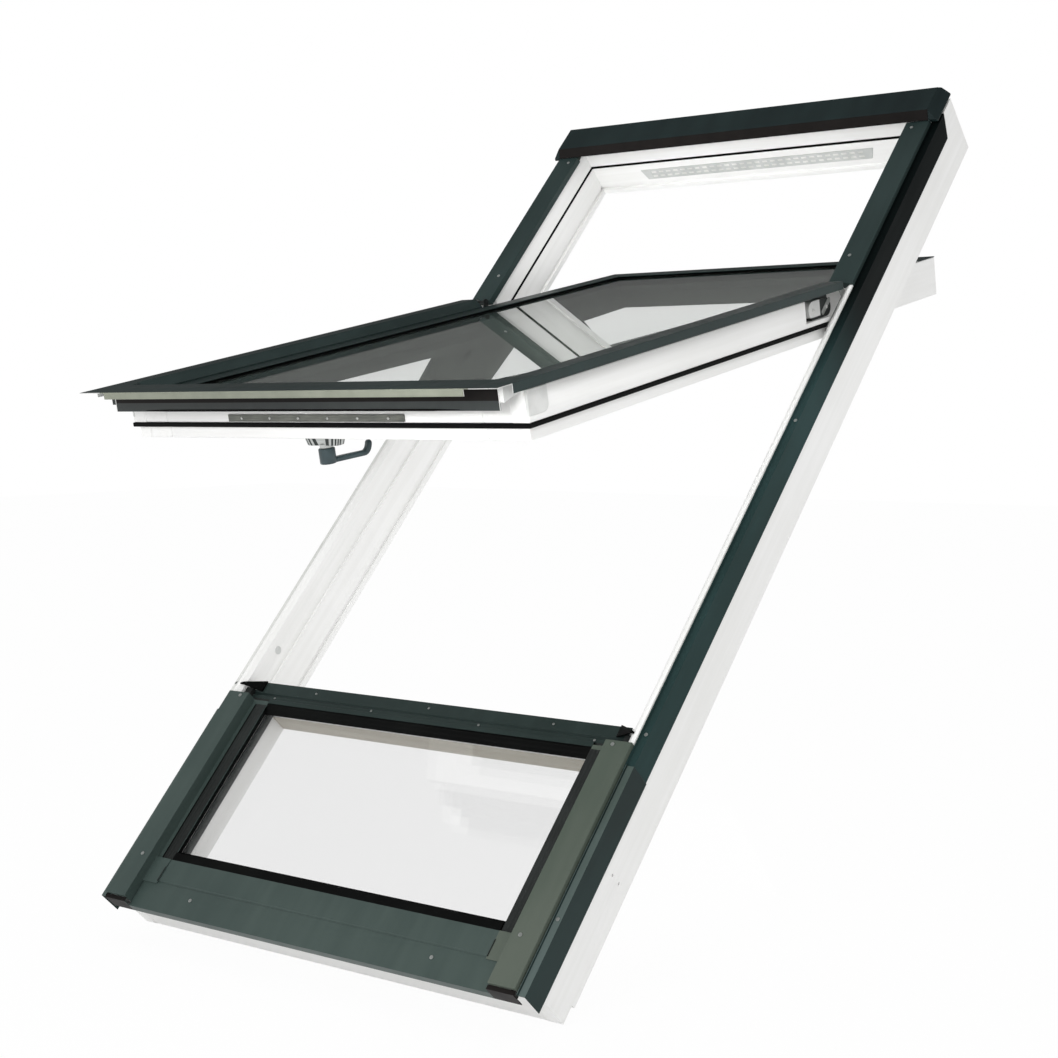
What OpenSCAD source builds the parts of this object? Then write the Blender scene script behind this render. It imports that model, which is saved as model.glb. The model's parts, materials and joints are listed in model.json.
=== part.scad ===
// Roof skylight: a pivot sash with a raised axis over a fixed lower light, in a pitched timber frame.
// Window axes, before the pitch is applied: x across, s up the slope, n out of the roof.
// n is zero on the timber rim under the outside covers, and s is zero at the foot of the edge profiles.
// Sash axes have their zero on the pivot line: v up the sash, w out of it.

/* [Frame] */
// Width over the timber jambs
frame_w = 940; // [780:10:1340]
// Length of the window up the slope
frame_l = 2060; // [1900:10:2400]
// Depth of the timber from the rim to the room side
frame_d = 134; // [130:1:150]
// Pitch of the roof in degrees
roof_pitch = 46; // [25:1:60]
// Thickness of each jamb
jamb_t = 29; // [26:1:32]
// Height of the head rail
head_h = 46; // [40:1:60]
// How far the closing stop stands in from the jamb
stop_t = 5; // [3:0.5:6]
// Depth of the closing stop below the rim
stop_drop = 56; // [56:0.5:62]
// Thickness of the upper stop strips
upper_stop_t = 25; // [22:1:28]
// Radius of the bracket screw holes
bracket_hole_r = 2.5; // [1.5:0.1:4]
// Spacing of the two bracket screw holes
bracket_pitch = 24; // [16:1:40]

/* [Fixed light] */
// Top of the transom above the foot of the window
transom_top = 495; // [430:5:700]
// Height of the transom timber
transom_h = 59; // [56:1:70]
// Height of the sill timber
sill_h = 98; // [90:1:110]
// Width of the timber beside the fixed pane
light_stile_w = 81; // [74:1:110]
// Depth of the fixed pane below the rim
light_glass_drop = 26; // [25:0.5:30]

/* [Sash] */
// Distance from the top of the window down to the pivot
pivot_drop = 569; // [520:1:700]
// Height of the pivot above the rim
pivot_rise = 14; // [14:0.5:18]
// Angle in degrees at which the sash stands open
open_angle = 35; // [0:1:60]
// Depth of the sash timber
sash_d = 78; // [76:1:84]
// Width of each sash stile
stile_w = 54; // [48:1:64]
// Height of the sash top rail
top_rail_h = 54; // [48:1:64]
// Height of the sash bottom rail
bottom_rail_h = 45; // [40:1:60]
// Radius of the pivot pins
pin_r = 4; // [3:0.5:5]
// Running clearance round the pins and the lever spindle
running_gap = 0.05; // [0.02:0.01:0.09]

/* [Glass] */
// Thickness of one pane
pane_t = 4; // [3:0.5:5]
// Gap between the two panes
pane_gap = 16; // [12:1:17]

/* [Covers] */
// Thickness of the folded sheet
sheet = 1.5; // [0.8:0.1:2]
// Height of the side covers above the rim
cover_rise = 6; // [4:0.5:7]
// Width of the side covers
cover_w = 51; // [46:1:52]
// Height of the hood above the rim
hood_h = 26; // [22:1:32]
// Length of the hood
hood_l = 87; // [70:1:100]
// Height of the raised sash covers above the pivot line
clad_rise = 10; // [9:0.5:11]
// Reach of the sash plate past the bottom rail
plate_reach = 92; // [80:1:100]

/* [Handle] */
// Length of the lever from its spindle to the tip
lever_l = 82; // [70:1:140]
// Angle of the lever from the line of the stiles
lever_angle = 20; // [0:1:90]

/* [Hidden] */
$fn = 48;

// One overrun serves every cut
overrun = 1;
left = -1;
right = 1;

// Colours
timber = "#f1f1ee";
dark_sheet = "#37423f";
olive_sheet = "#5b6358";
hood_sheet = "#232d2e";
black_rubber = "#151716";
clear_glass = [0.75, 0.84, 0.82, 0.35];
spacer_grey = "#8c9190";
steel = "#a9adab";
cap_grey = "#787d7b";
lever_grey = "#3c403f";

// Across the window
half_w = frame_w / 2;
jamb_in = half_w - jamb_t;
stop_in = jamb_in - stop_t;
upper_in = jamb_in - upper_stop_t;
rebate_w = 14;
rebate_d = 8;
rim_w = 7;
chamfer_d = 6;
rim_out = half_w - rebate_w;
rim_in = rim_out - rim_w;
cover_out = rim_out + sheet;
cover_in = cover_out - cover_w;

// Up the slope
foot_s = 20;
timber_top = frame_l - sheet;
head_s = timber_top - head_h;
hood_s = frame_l - hood_l;
pivot_s = frame_l - pivot_drop;
sill_top = foot_s + sill_h;
transom_foot = transom_top - transom_h;
seat_s = (foot_s + sill_top) / 2;
stop_lap = 8;
stop_end_gap = 38;
stop_top = pivot_s - stop_end_gap;
upper_stop_gap = 39;
upper_stop_drop = 12;
upper_foot = pivot_s + upper_stop_gap;

// Timber details: the lining groove, the cut-back room corner and the bracket holes
groove_w = 10;
groove_d = 6;
groove_set = 12;
back_step_l = 33;
back_step_d = 9;
bracket_s = 257;
bracket_set = 43;
bracket_depth = 20;
latch_hole_r = 3.5;
latch_hole_s = 575;
latch_hole_drop = 34;
latch_hole_depth = 8;

// Upper seal and the ventilation grille in the head
seal_w = 5;
seal_drop = 54;
seal_sunk = 4;
seal_stand = 6;
grille_w = 580;
grille_h = 26;
grille_drop = 77;
grille_slant = 10;
grille_t = 2.5;
grille_depth = 12;
grille_proud = 1;
grille_slots = 28;
grille_slot_w = 13;
grille_slot_h = 6;
grille_row_gap = 5;
grille_margin = 22;

// Edge profiles on the rebate of the jambs
profile_gap = 0.5;
profile_out = half_w + profile_gap + sheet;
profile_lip_set = 2;
profile_lip_rise = 1;
profile_drop = 54;
profile_splice = 413;
profile_lap = 11;
profile_top_gap = 50;
profile_slant = 20;

// Covers of the frame
cover_clear = 16;
upper_lip_drop = 8;
upper_foot_s = pivot_s + cover_clear;
hood_lap = 3;
lower_foot_s = 5;
lower_cover_gap = 45;
lower_top_s = transom_top - lower_cover_gap;
hood_round = 6;
hood_lean = 12;
hood_gap = 2;
hood_back = 20;
hood_side_set = 1;
hood_end_w = 18;
hood_end_edge = 4;

// Fixed light
glass_bite = 16;
glass_play = 2;
light_in = jamb_in - light_stile_w;
light_rebate = light_in + glass_bite;
light_lo = sill_top - glass_bite;
light_hi = transom_foot + glass_bite;
glass_t = 2 * pane_t + pane_gap;
light_back = light_glass_drop + glass_t;
light_sight_lap = 3;
light_bead_w = 7;
light_bead_t = 4;
light_gasket_t = 8.5;
light_face_drop = light_glass_drop - light_gasket_t;
flange_over = 6;
spacer_inset = 8;
spacer_w = 7;
clip_l = 30;
clip_t = 2;
clip_h = 1;
clip_inset = 4;

// Bottom and transom covers of the fixed light
light_cover_play = 2;
sill_fold_rise = 3;
sill_fold_s = 26;
sill_lip_reach = 23;
sill_lip_edge = 4;
sill_lip_drop = 16;
sill_fall = 0.4;
sill_n = sheet - light_face_drop + sill_fold_rise;
sill_edge_s = light_lo - sill_lip_edge;
ridge_s = 52;
ridge_w = 2;
ridge_d = 1.2;
apron_gap = 0.5;
tab_foot_s = 48;
tab_gap = 0.2;
tab_n = sill_n + tab_gap;
light_bead_rise = 0.5;
flange_step = 3.5;
flange_drop = light_face_drop + flange_step;
flange_set = 1;
flange_l = 24;
flange_gap = 11;
flange_half = stop_in - flange_gap;
bead_d = 2.5;
bead_w = 2;
strip_rise_l = 2;
bead_s = transom_top - flange_set - flange_l;
strip_s = bead_s - bead_w - 2 * sheet;
rise_s = light_hi + strip_rise_l + 2 * sheet;
plug_l = 24;
plug_gap = 1;
plug_in = 20;
plug_rise = 1;
plug_t = 4;

// Sash in its own axes
upper_gap = 12;
strip_gap = 5;
top_gap = 27.5;
bottom_gap = 11;
stile_out = upper_in - upper_gap;
stile_in = stile_out - stile_w;
strip_out = jamb_in - strip_gap;
top_v = head_s - top_gap - pivot_s;
bottom_v = transom_top + bottom_gap - pivot_s;
timber_w = -10;
room_w = timber_w - sash_d;
gasket_t = 4;
glass_w = timber_w - gasket_t;
glass_back_w = glass_w - glass_t;
sash_bite = 22;
sash_edge = stile_in + sash_bite;
sash_rebate = sash_edge + glass_play;
top_edge_v = top_v - top_rail_h + glass_bite;
top_rebate_v = top_edge_v + glass_play;
glass_over = 9;
bottom_edge_v = bottom_v - glass_over;
sight_w = 16;
sight_low = 12;
room_round = 5;
strip_v = -130;
strip_tail_v = -35;
strip_tail_w = -51;
seal_step = 6;
seal_step_w = -60;
seal_t = 8;
seal_proud = 2;
cap_lip_w = 2;
bead_in_w = 3.5;

// Raised sash covers, plate, web and corners
stile_cover_v = -16;
stile_cover_end = 37;
stile_cover_lip = 15;
stile_cover_slant = 15;
clad_out = cover_out - sheet;
plate_flat = 6;
plate_climb = 14;
plate_lip = 12;
plate_notch = 62;
plate_front = bottom_v - plate_reach;
web_set = 46;
web_gap = 3;
web_end_gap = 3;
web_half = flange_half - web_end_gap;
web_flange = 20;
web_v = bottom_v - web_set;
web_bottom = web_gap - flange_drop - pivot_rise;
corner_t = 8;
corner_back = 11;
corner_drop = 30;
corner_gap = 0.5;

// Strip caps, lock strip and hinges
strip_cap_l = 51;
strip_cap_h = 40;
strip_cap_t = 5;
strip_cap_sunk = 4;
strip_cap_r = 12;
lock_half = 195;
lock_h = 12;
lock_t = 2.5;
lock_top_w = -46;
lock_screws = 6;
hinge_t = 2.5;
hinge_ear_r = 8;
hinge_foot_w = -50.5;
hinge_top_w = -14;
arm_l = 122;
arm_head = 8;
block_w = 22;
block_lo = -105;
block_hi = -20;
block_r = 17;
block_mid_w = -33;
plate_l = 100;
plate_foot_n = -52;
plate_top_n = -6;

// Screws: pan heads on the outside covers
screw_r = 3.4;
screw_h = 1.8;
small_screw_r = 2.2;
cover_screw_in = 15;
lower_screw_up = 85;
lower_screw_in = 8;
upper_screw_up = 77;
sill_screw_x = 272;
ledge_screw_s = [132, 475, 1164];
flange_screw_shares = [-0.64, 0, 0.64];
strip_screw_shares = [-0.86, -0.29, 0.29, 0.86];

// Handle on the room side of the bottom rail
handle_set = 19;
handle_v = bottom_v + handle_set;
handle_half = 40;
handle_h = 24;
handle_t = 12;
flute_count = 9;
flute_r = 2.4;
boss_r = 11;
boss_l = 5;
spindle_r = 5;
spindle_l = 11;
lever_gap = 0.3;
lever_hub_r = 14;
lever_hub_l = 26;
lever_t = 9;
lever_root_r = 10;
lever_tip_r = 6.5;
lever_tip_h = 25;

// Places the window in the roof: the origin is the middle of the sill's room face
module in_roof() {
    rotate([roof_pitch, 0, 0]) translate([0, -seat_s, frame_d]) children();
}

// Places sash pieces on the pivot line, swung open
module on_sash() {
    in_roof() translate([0, pivot_s, pivot_rise]) rotate([-open_angle, 0, 0]) children();
}

// Right-hand pieces as drawn, left-hand pieces mirrored
module handed(side) {
    mirror([side < 0 ? 1 : 0, 0, 0]) children();
}

// Carries an (x, n) profile up the slope
module along_slope(lo, hi) {
    translate([0, hi, 0]) rotate([90, 0, 0]) linear_extrude(hi - lo) children();
}

// Carries an (s, n) profile across the window
module across(lo, hi) {
    translate([lo, 0, 0]) rotate([90, 0, 90]) linear_extrude(hi - lo) children();
}

// A box between two corners
module block(lo, hi) {
    translate(lo) cube(hi - lo);
}

// A flat rectangular ring in the x and s plane, between two heights
module ring(half, lo, hi, in_half, in_lo, in_hi, base, top) {
    translate([0, 0, base]) linear_extrude(top - base) difference() {
        translate([-half, lo]) square([2 * half, hi - lo]);
        translate([-in_half, in_lo]) square([2 * in_half, in_hi - in_lo]);
    }
}

// Folded sheet: the outer face follows the points, the other face lies a thickness to their left
function unit(v) = v / norm(v);
function turned(v) = [-v[1], v[0]];
function edge_normal(p, i) = turned(unit(p[i + 1] - p[i]));
function mitre(p, i) =
    let (a = edge_normal(p, max(i - 1, 0)), b = edge_normal(p, min(i, len(p) - 2)))
    (a + b) / (1 + a * b);
function fold(p, t) = concat(p, [for (i = [len(p) - 1 : -1 : 0]) p[i] + t * mitre(p, i)]);

// Lining groove cut along the room side of a reveal, drawn in (x or s, n)
module lining_groove(face, depth) {
    translate([min(face - overrun, face + depth), groove_set - frame_d])
        square([abs(depth) + overrun, groove_w]);
}

// Jamb section: rebate for the edge profile, flat rim and a chamfer to the inner face
module jamb_section() {
    polygon([
        [half_w, -frame_d], [half_w, -rebate_d], [rim_out, -rebate_d], [rim_out, 0],
        [rim_in, 0], [jamb_in, -chamfer_d], [jamb_in, -frame_d]
    ]);
}

module jamb(side) {
    color(timber) in_roof() handed(side) difference() {
        union() {
            along_slope(foot_s, timber_top) jamb_section();
            along_slope(transom_top + stop_lap, stop_top) difference() {
                translate([stop_in, -frame_d]) square([stop_t, frame_d - stop_drop]);
                lining_groove(stop_in, stop_t - sheet);
            }
        }
        block(
            [jamb_in - overrun, foot_s - overrun, -frame_d - overrun],
            [half_w + overrun, foot_s + back_step_l, back_step_d - frame_d]
        );
        for (end = [-1, 1])
            translate([half_w - bracket_depth, bracket_s, bracket_set - frame_d + end * bracket_pitch / 2])
                rotate([0, 90, 0]) cylinder(r = bracket_hole_r, h = bracket_depth + overrun);
        if (side == left)
            translate([jamb_in - overrun, latch_hole_s, -latch_hole_drop])
                rotate([0, 90, 0]) cylinder(r = latch_hole_r, h = latch_hole_depth + overrun);
    }
}

// Outline of the ventilation grille, wider at its outer edge
module grille_outline() {
    polygon([
        [-grille_w / 2, -grille_drop], [grille_w / 2, -grille_drop],
        [grille_w / 2 - grille_slant, -grille_drop - grille_h],
        [grille_slant - grille_w / 2, -grille_drop - grille_h]
    ]);
}

module head_rail() {
    color(timber) in_roof() difference() {
        across(-jamb_in, jamb_in) difference() {
            polygon([
                [head_s, -frame_d], [timber_top, -frame_d], [timber_top, 0],
                [head_s + chamfer_d, 0], [head_s, -chamfer_d]
            ]);
            translate([head_s - overrun, -seal_drop - seal_w]) square([seal_sunk + overrun, seal_w]);
            lining_groove(head_s, groove_d);
        }
        along_slope(head_s - overrun, head_s + grille_depth) grille_outline();
    }
}

module vent_grille() {
    slot_pitch = (grille_w - 2 * grille_margin) / grille_slots;
    color(cap_grey) in_roof() along_slope(head_s - grille_proud, head_s + grille_t) difference() {
        grille_outline();
        for (row = [-1, 1], i = [0 : grille_slots - 1])
            translate([
                grille_margin - grille_w / 2 + (i + 0.5) * slot_pitch - grille_slot_w / 2,
                -grille_drop - grille_h / 2 + row * (grille_slot_h + grille_row_gap) / 2 - grille_slot_h / 2
            ]) square([grille_slot_w, grille_slot_h]);
    }
}

module sill_rail() {
    color(timber) in_roof() difference() {
        across(-jamb_in, jamb_in) difference() {
            translate([foot_s, -frame_d]) square([sill_h, frame_d - light_face_drop]);
            lining_groove(sill_top - groove_d, groove_d);
            translate([foot_s - overrun, -frame_d - overrun])
                square([back_step_l + overrun, back_step_d + overrun]);
        }
        block(
            [-light_rebate, light_lo, -light_back],
            [light_rebate, sill_top + overrun, overrun - light_face_drop]
        );
    }
}

module transom_rail() {
    face = flange_drop + sheet + bead_d;
    color(timber) in_roof() difference() {
        across(-jamb_in, jamb_in) difference() {
            polygon([
                [transom_foot, -frame_d], [transom_top + stop_lap, -frame_d],
                [transom_top + stop_lap, -stop_drop], [transom_top, -stop_drop],
                [transom_top, -face], [transom_foot, -face]
            ]);
            lining_groove(transom_foot, groove_d);
        }
        block(
            [-light_rebate, transom_foot - overrun, -light_back],
            [light_rebate, light_hi, overrun - face]
        );
    }
}

// Timber beside the fixed pane, rebated for the glass
module light_stile(side) {
    color(timber) in_roof() handed(side) along_slope(sill_top, transom_foot) difference() {
        polygon([
            [light_in, -frame_d], [jamb_in, -frame_d], [jamb_in, -light_face_drop],
            [light_rebate, -light_face_drop], [light_rebate, -light_back], [light_in, -light_back]
        ]);
        lining_groove(light_in, groove_d);
    }
}

module upper_stop(side) {
    color(timber) in_roof() handed(side) along_slope(upper_foot, head_s) difference() {
        translate([upper_in, -frame_d]) square([upper_stop_t, frame_d - upper_stop_drop]);
        translate([upper_in - overrun, -seal_drop - seal_w]) square([seal_sunk + overrun, seal_w]);
        lining_groove(upper_in, groove_d);
    }
}

// Seal round the head and the upper stops, with a tapered nose
module upper_seal() {
    nose = seal_w / 4;
    seal_in = upper_in - seal_stand;
    side_points = [
        [upper_in + seal_sunk, -seal_drop], [upper_in + seal_sunk, -seal_drop - seal_w],
        [upper_in, -seal_drop - seal_w], [seal_in, nose - seal_drop - seal_w],
        [seal_in, -seal_drop - nose], [upper_in, -seal_drop]
    ];
    color(black_rubber) in_roof() {
        for (side = [left, right]) handed(side) along_slope(upper_foot, head_s) polygon(side_points);
        across(-upper_in - seal_sunk, upper_in + seal_sunk)
            polygon([for (p = side_points) [head_s + p[0] - upper_in, p[1]]]);
    }
}

// Z-shaped edge profile: flange, ledge and upturned lip
function profile_points(shift) = [
    [profile_out + shift, -profile_drop], [profile_out + shift, sheet - rebate_d + shift],
    [rim_out + profile_lip_set + sheet + shift, sheet - rebate_d + shift],
    [rim_out + profile_lip_set + sheet + shift, -profile_lip_rise]
];

module edge_profile_lower(side) {
    color(dark_sheet) in_roof() handed(side)
        along_slope(0, profile_splice) polygon(fold(profile_points(sheet), sheet));
}

module edge_profile_upper(side) {
    foot = profile_splice - profile_lap;
    top = frame_l - profile_top_gap;
    color(dark_sheet) in_roof() handed(side) intersection() {
        along_slope(foot, top) polygon(fold(profile_points(0), sheet));
        across(rim_out, half_w + rebate_w) polygon([
            [foot, 0], [top, 0], [top, -rebate_d],
            [top - profile_slant, -profile_drop], [foot, -profile_drop]
        ]);
    }
}

// Closed end of a side cover, fitted round the jamb's rim
module cover_end(depth) {
    polygon([
        [cover_in + sheet, -depth], [cover_in + sheet, cover_rise - sheet],
        [rim_out, cover_rise - sheet], [rim_out, 0], [rim_in, 0],
        [jamb_in, -chamfer_d], [jamb_in, -depth]
    ]);
}

module upper_cover(side) {
    color(dark_sheet) in_roof() handed(side) {
        along_slope(upper_foot_s, hood_s + hood_lap) polygon(fold([
            [cover_out, -rebate_d], [cover_out, cover_rise],
            [cover_in, cover_rise], [cover_in, -upper_lip_drop]
        ], sheet));
        along_slope(upper_foot_s, upper_foot_s + sheet) cover_end(upper_lip_drop);
    }
}

module lower_cover(side) {
    inner_n = sheet - light_face_drop;
    color(side == right ? olive_sheet : dark_sheet) in_roof() handed(side) {
        along_slope(lower_foot_s, lower_top_s) polygon(fold([
            [cover_out, -rebate_d], [cover_out, cover_rise], [cover_in, cover_rise],
            [cover_in, inner_n], [light_rebate - flange_over, inner_n]
        ], sheet));
        for (end_s = [lower_foot_s, lower_top_s - sheet])
            along_slope(end_s, end_s + sheet) cover_end(light_face_drop);
        block(
            [light_rebate - flange_over, tab_foot_s, tab_n],
            [cover_in + sheet, sill_edge_s, tab_n + sheet]
        );
    }
}

// Outer line of the hood, from its back edge over the top to its leaning lower face
hood_points = [
    [frame_l, -hood_back], [frame_l, hood_h - hood_round], [frame_l - hood_round, hood_h],
    [hood_s + hood_lean, hood_h], [hood_s, cover_rise + hood_gap]
];

module hood() {
    half = rim_out - hood_side_set;
    color(hood_sheet) in_roof() across(-half, half) polygon(fold(hood_points, sheet));
}

// Bevelled end cap of the hood
module hood_end(side) {
    inner = rim_out - hood_side_set;
    tip = hood_s + hood_lap + overrun;
    color(hood_sheet) in_roof() handed(side) intersection() {
        across(inner, inner + hood_end_w) polygon(concat(
            [[frame_l, 0]], [for (i = [1 : len(hood_points) - 1]) hood_points[i]],
            [[tip, cover_rise + hood_gap], [tip, 0]]
        ));
        along_slope(hood_s, frame_l) polygon([
            [inner, 0], [inner + hood_end_w, 0], [inner + hood_end_w, hood_end_edge], [inner, hood_h]
        ]);
    }
}

// Bottom cover with a groove, a turned-down lip and an apron before the foot of each jamb
module bottom_cover() {
    half = cover_in - light_cover_play;
    lip_s = sill_fold_s - sill_lip_reach - flange_over;
    lip_n = sill_n - sill_fall;
    points = [
        [sill_edge_s, sill_n], [ridge_s + ridge_w + sheet, sill_n], [ridge_s + ridge_w, sill_n - ridge_d],
        [ridge_s, sill_n - ridge_d], [ridge_s - sheet, sill_n], [sill_fold_s, sill_n],
        [lip_s, lip_n], [lip_s, lip_n - sill_lip_drop]
    ];
    apron = [[lower_foot_s - apron_gap, 0], [lip_s, 0], [lip_s, lip_n - sill_lip_drop]];
    color(dark_sheet) in_roof() {
        across(-half, half) polygon(fold(points, sheet));
        for (side = [left, right]) handed(side) across(half, rim_out) polygon(fold(apron, sheet));
    }
}

// Stepped transom cover: flange under the sash, a bead, a screwed strip and a rise to the gasket
module transom_cover() {
    top = transom_top - flange_set;
    raised_n = sheet - light_face_drop;
    lower = [
        [rise_s, -flange_drop], [rise_s - strip_rise_l, raised_n], [light_hi - flange_over, raised_n]
    ];
    color(dark_sheet) in_roof() {
        across(-flange_half, flange_half) polygon(fold([
            [top, -flange_drop], [bead_s, -flange_drop], [bead_s - sheet, -flange_drop - bead_d],
            [bead_s - sheet - bead_w, -flange_drop - bead_d], [strip_s, -flange_drop],
            [rise_s, -flange_drop]
        ], sheet));
        across(flange_over - light_rebate, light_rebate - flange_over) polygon(fold(lower, sheet));
    }
}

// Slanting wedge that seals the corner between the transom cover and the jamb's rim
module transom_plug(side) {
    seat = -flange_drop - sheet - bead_d;
    color(black_rubber) in_roof() handed(side) along_slope(transom_top - plug_l, transom_top) polygon([
        [flange_half + plug_gap, seat], [jamb_in, seat], [jamb_in, -chamfer_d], [rim_in, 0],
        [rim_in, plug_rise], [jamb_in, plug_rise], [flange_half - plug_in, plug_t - flange_drop],
        [flange_half - plug_in, -flange_drop], [flange_half + plug_gap, -flange_drop]
    ]);
}

// Panes and spacer of an insulating unit, from its edges and the level of its outer face
module pane(half, lo, hi, face) {
    block([-half, lo, face - pane_t], [half, hi, face]);
}

module spacer(half, lo, hi, face) {
    inset = spacer_inset + spacer_w;
    ring(
        half - spacer_inset, lo + spacer_inset, hi - spacer_inset,
        half - inset, lo + inset, hi - inset, face - pane_t - pane_gap, face - pane_t
    );
}

module light_pane(depth) {
    color(clear_glass) in_roof()
        pane(light_rebate - glass_play, light_lo + glass_play, light_hi - glass_play, -depth);
}

module light_spacer() {
    color(spacer_grey) in_roof()
        spacer(
            light_rebate - glass_play, light_lo + glass_play, light_hi - glass_play, -light_glass_drop
        );
}

// Glazing gasket of the fixed light, stepped towards the glass, with a broad bead along its foot
module light_gasket() {
    sight = light_in - light_sight_lap;
    low = sill_top + light_sight_lap;
    high = transom_foot - light_sight_lap;
    step_n = light_bead_t - light_glass_drop;
    narrow = light_rebate - flange_over - light_cover_play / 2;
    color(black_rubber) in_roof() {
        ring(light_rebate, light_lo, light_hi, sight, low, high, -light_glass_drop, step_n);
        ring(
            light_rebate, light_lo, light_hi, sight + light_bead_w, low - light_bead_w,
            high + light_bead_w, step_n, -light_face_drop
        );
        block(
            [-narrow, sill_edge_s, -light_face_drop],
            [narrow, low - light_bead_w, sill_n - light_bead_rise]
        );
    }
}

// Clips along the inner edges of the lower cover tabs
module glazing_clips() {
    base = tab_n + sheet;
    edge = light_rebate - flange_over;
    foot = tab_foot_s + clip_inset;
    color(steel) in_roof() for (side = [left, right]) handed(side)
        block([edge, foot, base], [edge + clip_t, foot + clip_l, base + clip_h]);
}

// Hinge plate on the jamb, with the bore for the pivot pin
module hinge_plate(side) {
    color(steel) in_roof() handed(side) translate([0, pivot_s, 0]) difference() {
        across(jamb_in - hinge_t, jamb_in) {
            translate([-plate_l, plate_foot_n]) square([plate_l + arm_head, plate_top_n - plate_foot_n]);
            translate([-hinge_ear_r, plate_top_n]) square([2 * hinge_ear_r, pivot_rise - plate_top_n]);
            translate([0, pivot_rise]) circle(r = hinge_ear_r);
        }
        translate([jamb_in - hinge_t - overrun, 0, pivot_rise]) rotate([0, 90, 0])
            cylinder(r = pin_r + running_gap, h = hinge_t + 2 * overrun);
    }
}

module screw_head(r) {
    cylinder(r = r, h = screw_h);
}

module frame_screws() {
    cover_x = (cover_in + jamb_in) / 2;
    ledge_x = (rim_out + profile_lip_set + profile_out) / 2 + sheet;
    places = concat(
        [for (s = [lower_foot_s + lower_screw_up, lower_top_s - lower_screw_in]) [cover_x, s, cover_rise]],
        [for (s = [upper_foot_s + upper_screw_up, hood_s - cover_screw_in]) [cover_x, s, cover_rise]],
        [for (s = ledge_screw_s)
            [ledge_x, s, (s < profile_splice ? 2 * sheet : sheet) - rebate_d]],
        [[sill_screw_x, sill_fold_s + screw_r + sheet, sill_n]]
    );
    color(steel) in_roof() {
        for (side = [left, right], p = places) handed(side) translate(p) screw_head(screw_r);
        for (share = flange_screw_shares)
            translate([share * flange_half, bead_s + flange_l / 2, -flange_drop])
                screw_head(small_screw_r);
        for (share = strip_screw_shares)
            translate([share * flange_half, (strip_s + rise_s) / 2, -flange_drop])
                screw_head(small_screw_r);
    }
}

// Stile section: glass rebate outside, eased edge on the room side
module stile_section() {
    polygon([
        [stile_out, timber_w], [sash_rebate, timber_w], [sash_rebate, glass_back_w],
        [stile_in, glass_back_w], [stile_in, room_w + room_round],
        [stile_in + room_round, room_w], [stile_out, room_w]
    ]);
}

// Room for the closing seal under the lower end of the sash
module seal_step_cut() {
    block(
        [-jamb_in, bottom_v - overrun, room_w - overrun],
        [jamb_in, bottom_v + seal_step, seal_step_w]
    );
}

module sash_stile(side) {
    color(timber) on_sash() handed(side) difference() {
        along_slope(bottom_v, top_v) stile_section();
        seal_step_cut();
    }
}

module sash_top_rail() {
    reveal = top_v - top_rail_h;
    color(timber) on_sash() {
        across(-stile_in, stile_in) polygon([
            [top_v, room_w], [top_v, timber_w], [top_rebate_v, timber_w], [top_rebate_v, glass_back_w],
            [reveal, glass_back_w], [reveal, room_w + room_round], [reveal + room_round, room_w]
        ]);
        block([-sash_rebate, top_rebate_v, glass_back_w], [sash_rebate, top_v, timber_w]);
    }
}

module sash_bottom_rail() {
    reveal = bottom_v + bottom_rail_h;
    color(timber) on_sash() across(-stile_in, stile_in) polygon([
        [bottom_v, glass_back_w], [bottom_v, seal_step_w], [bottom_v + seal_step, seal_step_w],
        [bottom_v + seal_step, room_w], [reveal - room_round, room_w],
        [reveal, room_w + room_round], [reveal, glass_back_w]
    ]);
}

// Side outline of the grey cap at the foot of each closing strip, round at its upper inner corner
module strip_cap_outline(grow) {
    top = timber_w + grow;
    low = timber_w - strip_cap_h;
    head = bottom_v + strip_cap_l;
    translate([bottom_v - grow, low]) square([strip_cap_l - strip_cap_r + grow, top - low]);
    translate([bottom_v, low + strip_cap_r]) square([strip_cap_l, top - low - strip_cap_r]);
    translate([head - strip_cap_r, low + strip_cap_r]) circle(r = strip_cap_r);
}

// Section of a closing strip below a given level, stepped for the seal
module strip_section(top) {
    polygon([
        [stile_out, top], [strip_out, top], [strip_out, seal_step_w],
        [strip_out - seal_step, seal_step_w], [strip_out - seal_step, room_w], [stile_out, room_w]
    ]);
}

// Closing strip below the pivot, cut away for the hinge at its upper end
module closing_strip(side) {
    color(timber) on_sash() handed(side) difference() {
        union() {
            along_slope(bottom_v, strip_v) strip_section(timber_w);
            along_slope(strip_v, strip_tail_v) strip_section(strip_tail_w);
        }
        seal_step_cut();
        across(strip_out - strip_cap_sunk, strip_out + overrun) strip_cap_outline(overrun);
    }
}

module strip_cap(side) {
    foot = strip_out - strip_cap_sunk;
    color(cap_grey) on_sash() handed(side) across(foot, foot + strip_cap_t) strip_cap_outline(0);
}

// Seal along the closing strips and the bottom rail
module closing_seal() {
    out = strip_out + seal_proud;
    step_x = strip_out - seal_step;
    color(black_rubber) on_sash() {
        for (side = [left, right]) handed(side)
            block(
                [step_x, bottom_v - seal_proud, seal_step_w - seal_t],
                [out, strip_tail_v, seal_step_w]
            );
        block(
            [-out, bottom_v - seal_proud, seal_step_w - seal_t],
            [out, bottom_v + seal_step, seal_step_w]
        );
    }
}

// Flush caps over the edge of the glass: two sides and the top, joined at the corners
module glazing_caps() {
    inner = stile_in + sash_bite - sight_w + bead_in_w;
    top_inner = top_edge_v - sight_w + bead_in_w;
    color(dark_sheet) on_sash() {
        for (side = [left, right]) handed(side)
            block([inner, bottom_v, timber_w], [stile_out, top_v, timber_w + sheet]);
        block([-stile_out, top_inner, timber_w], [stile_out, top_v, timber_w + sheet]);
    }
}

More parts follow.
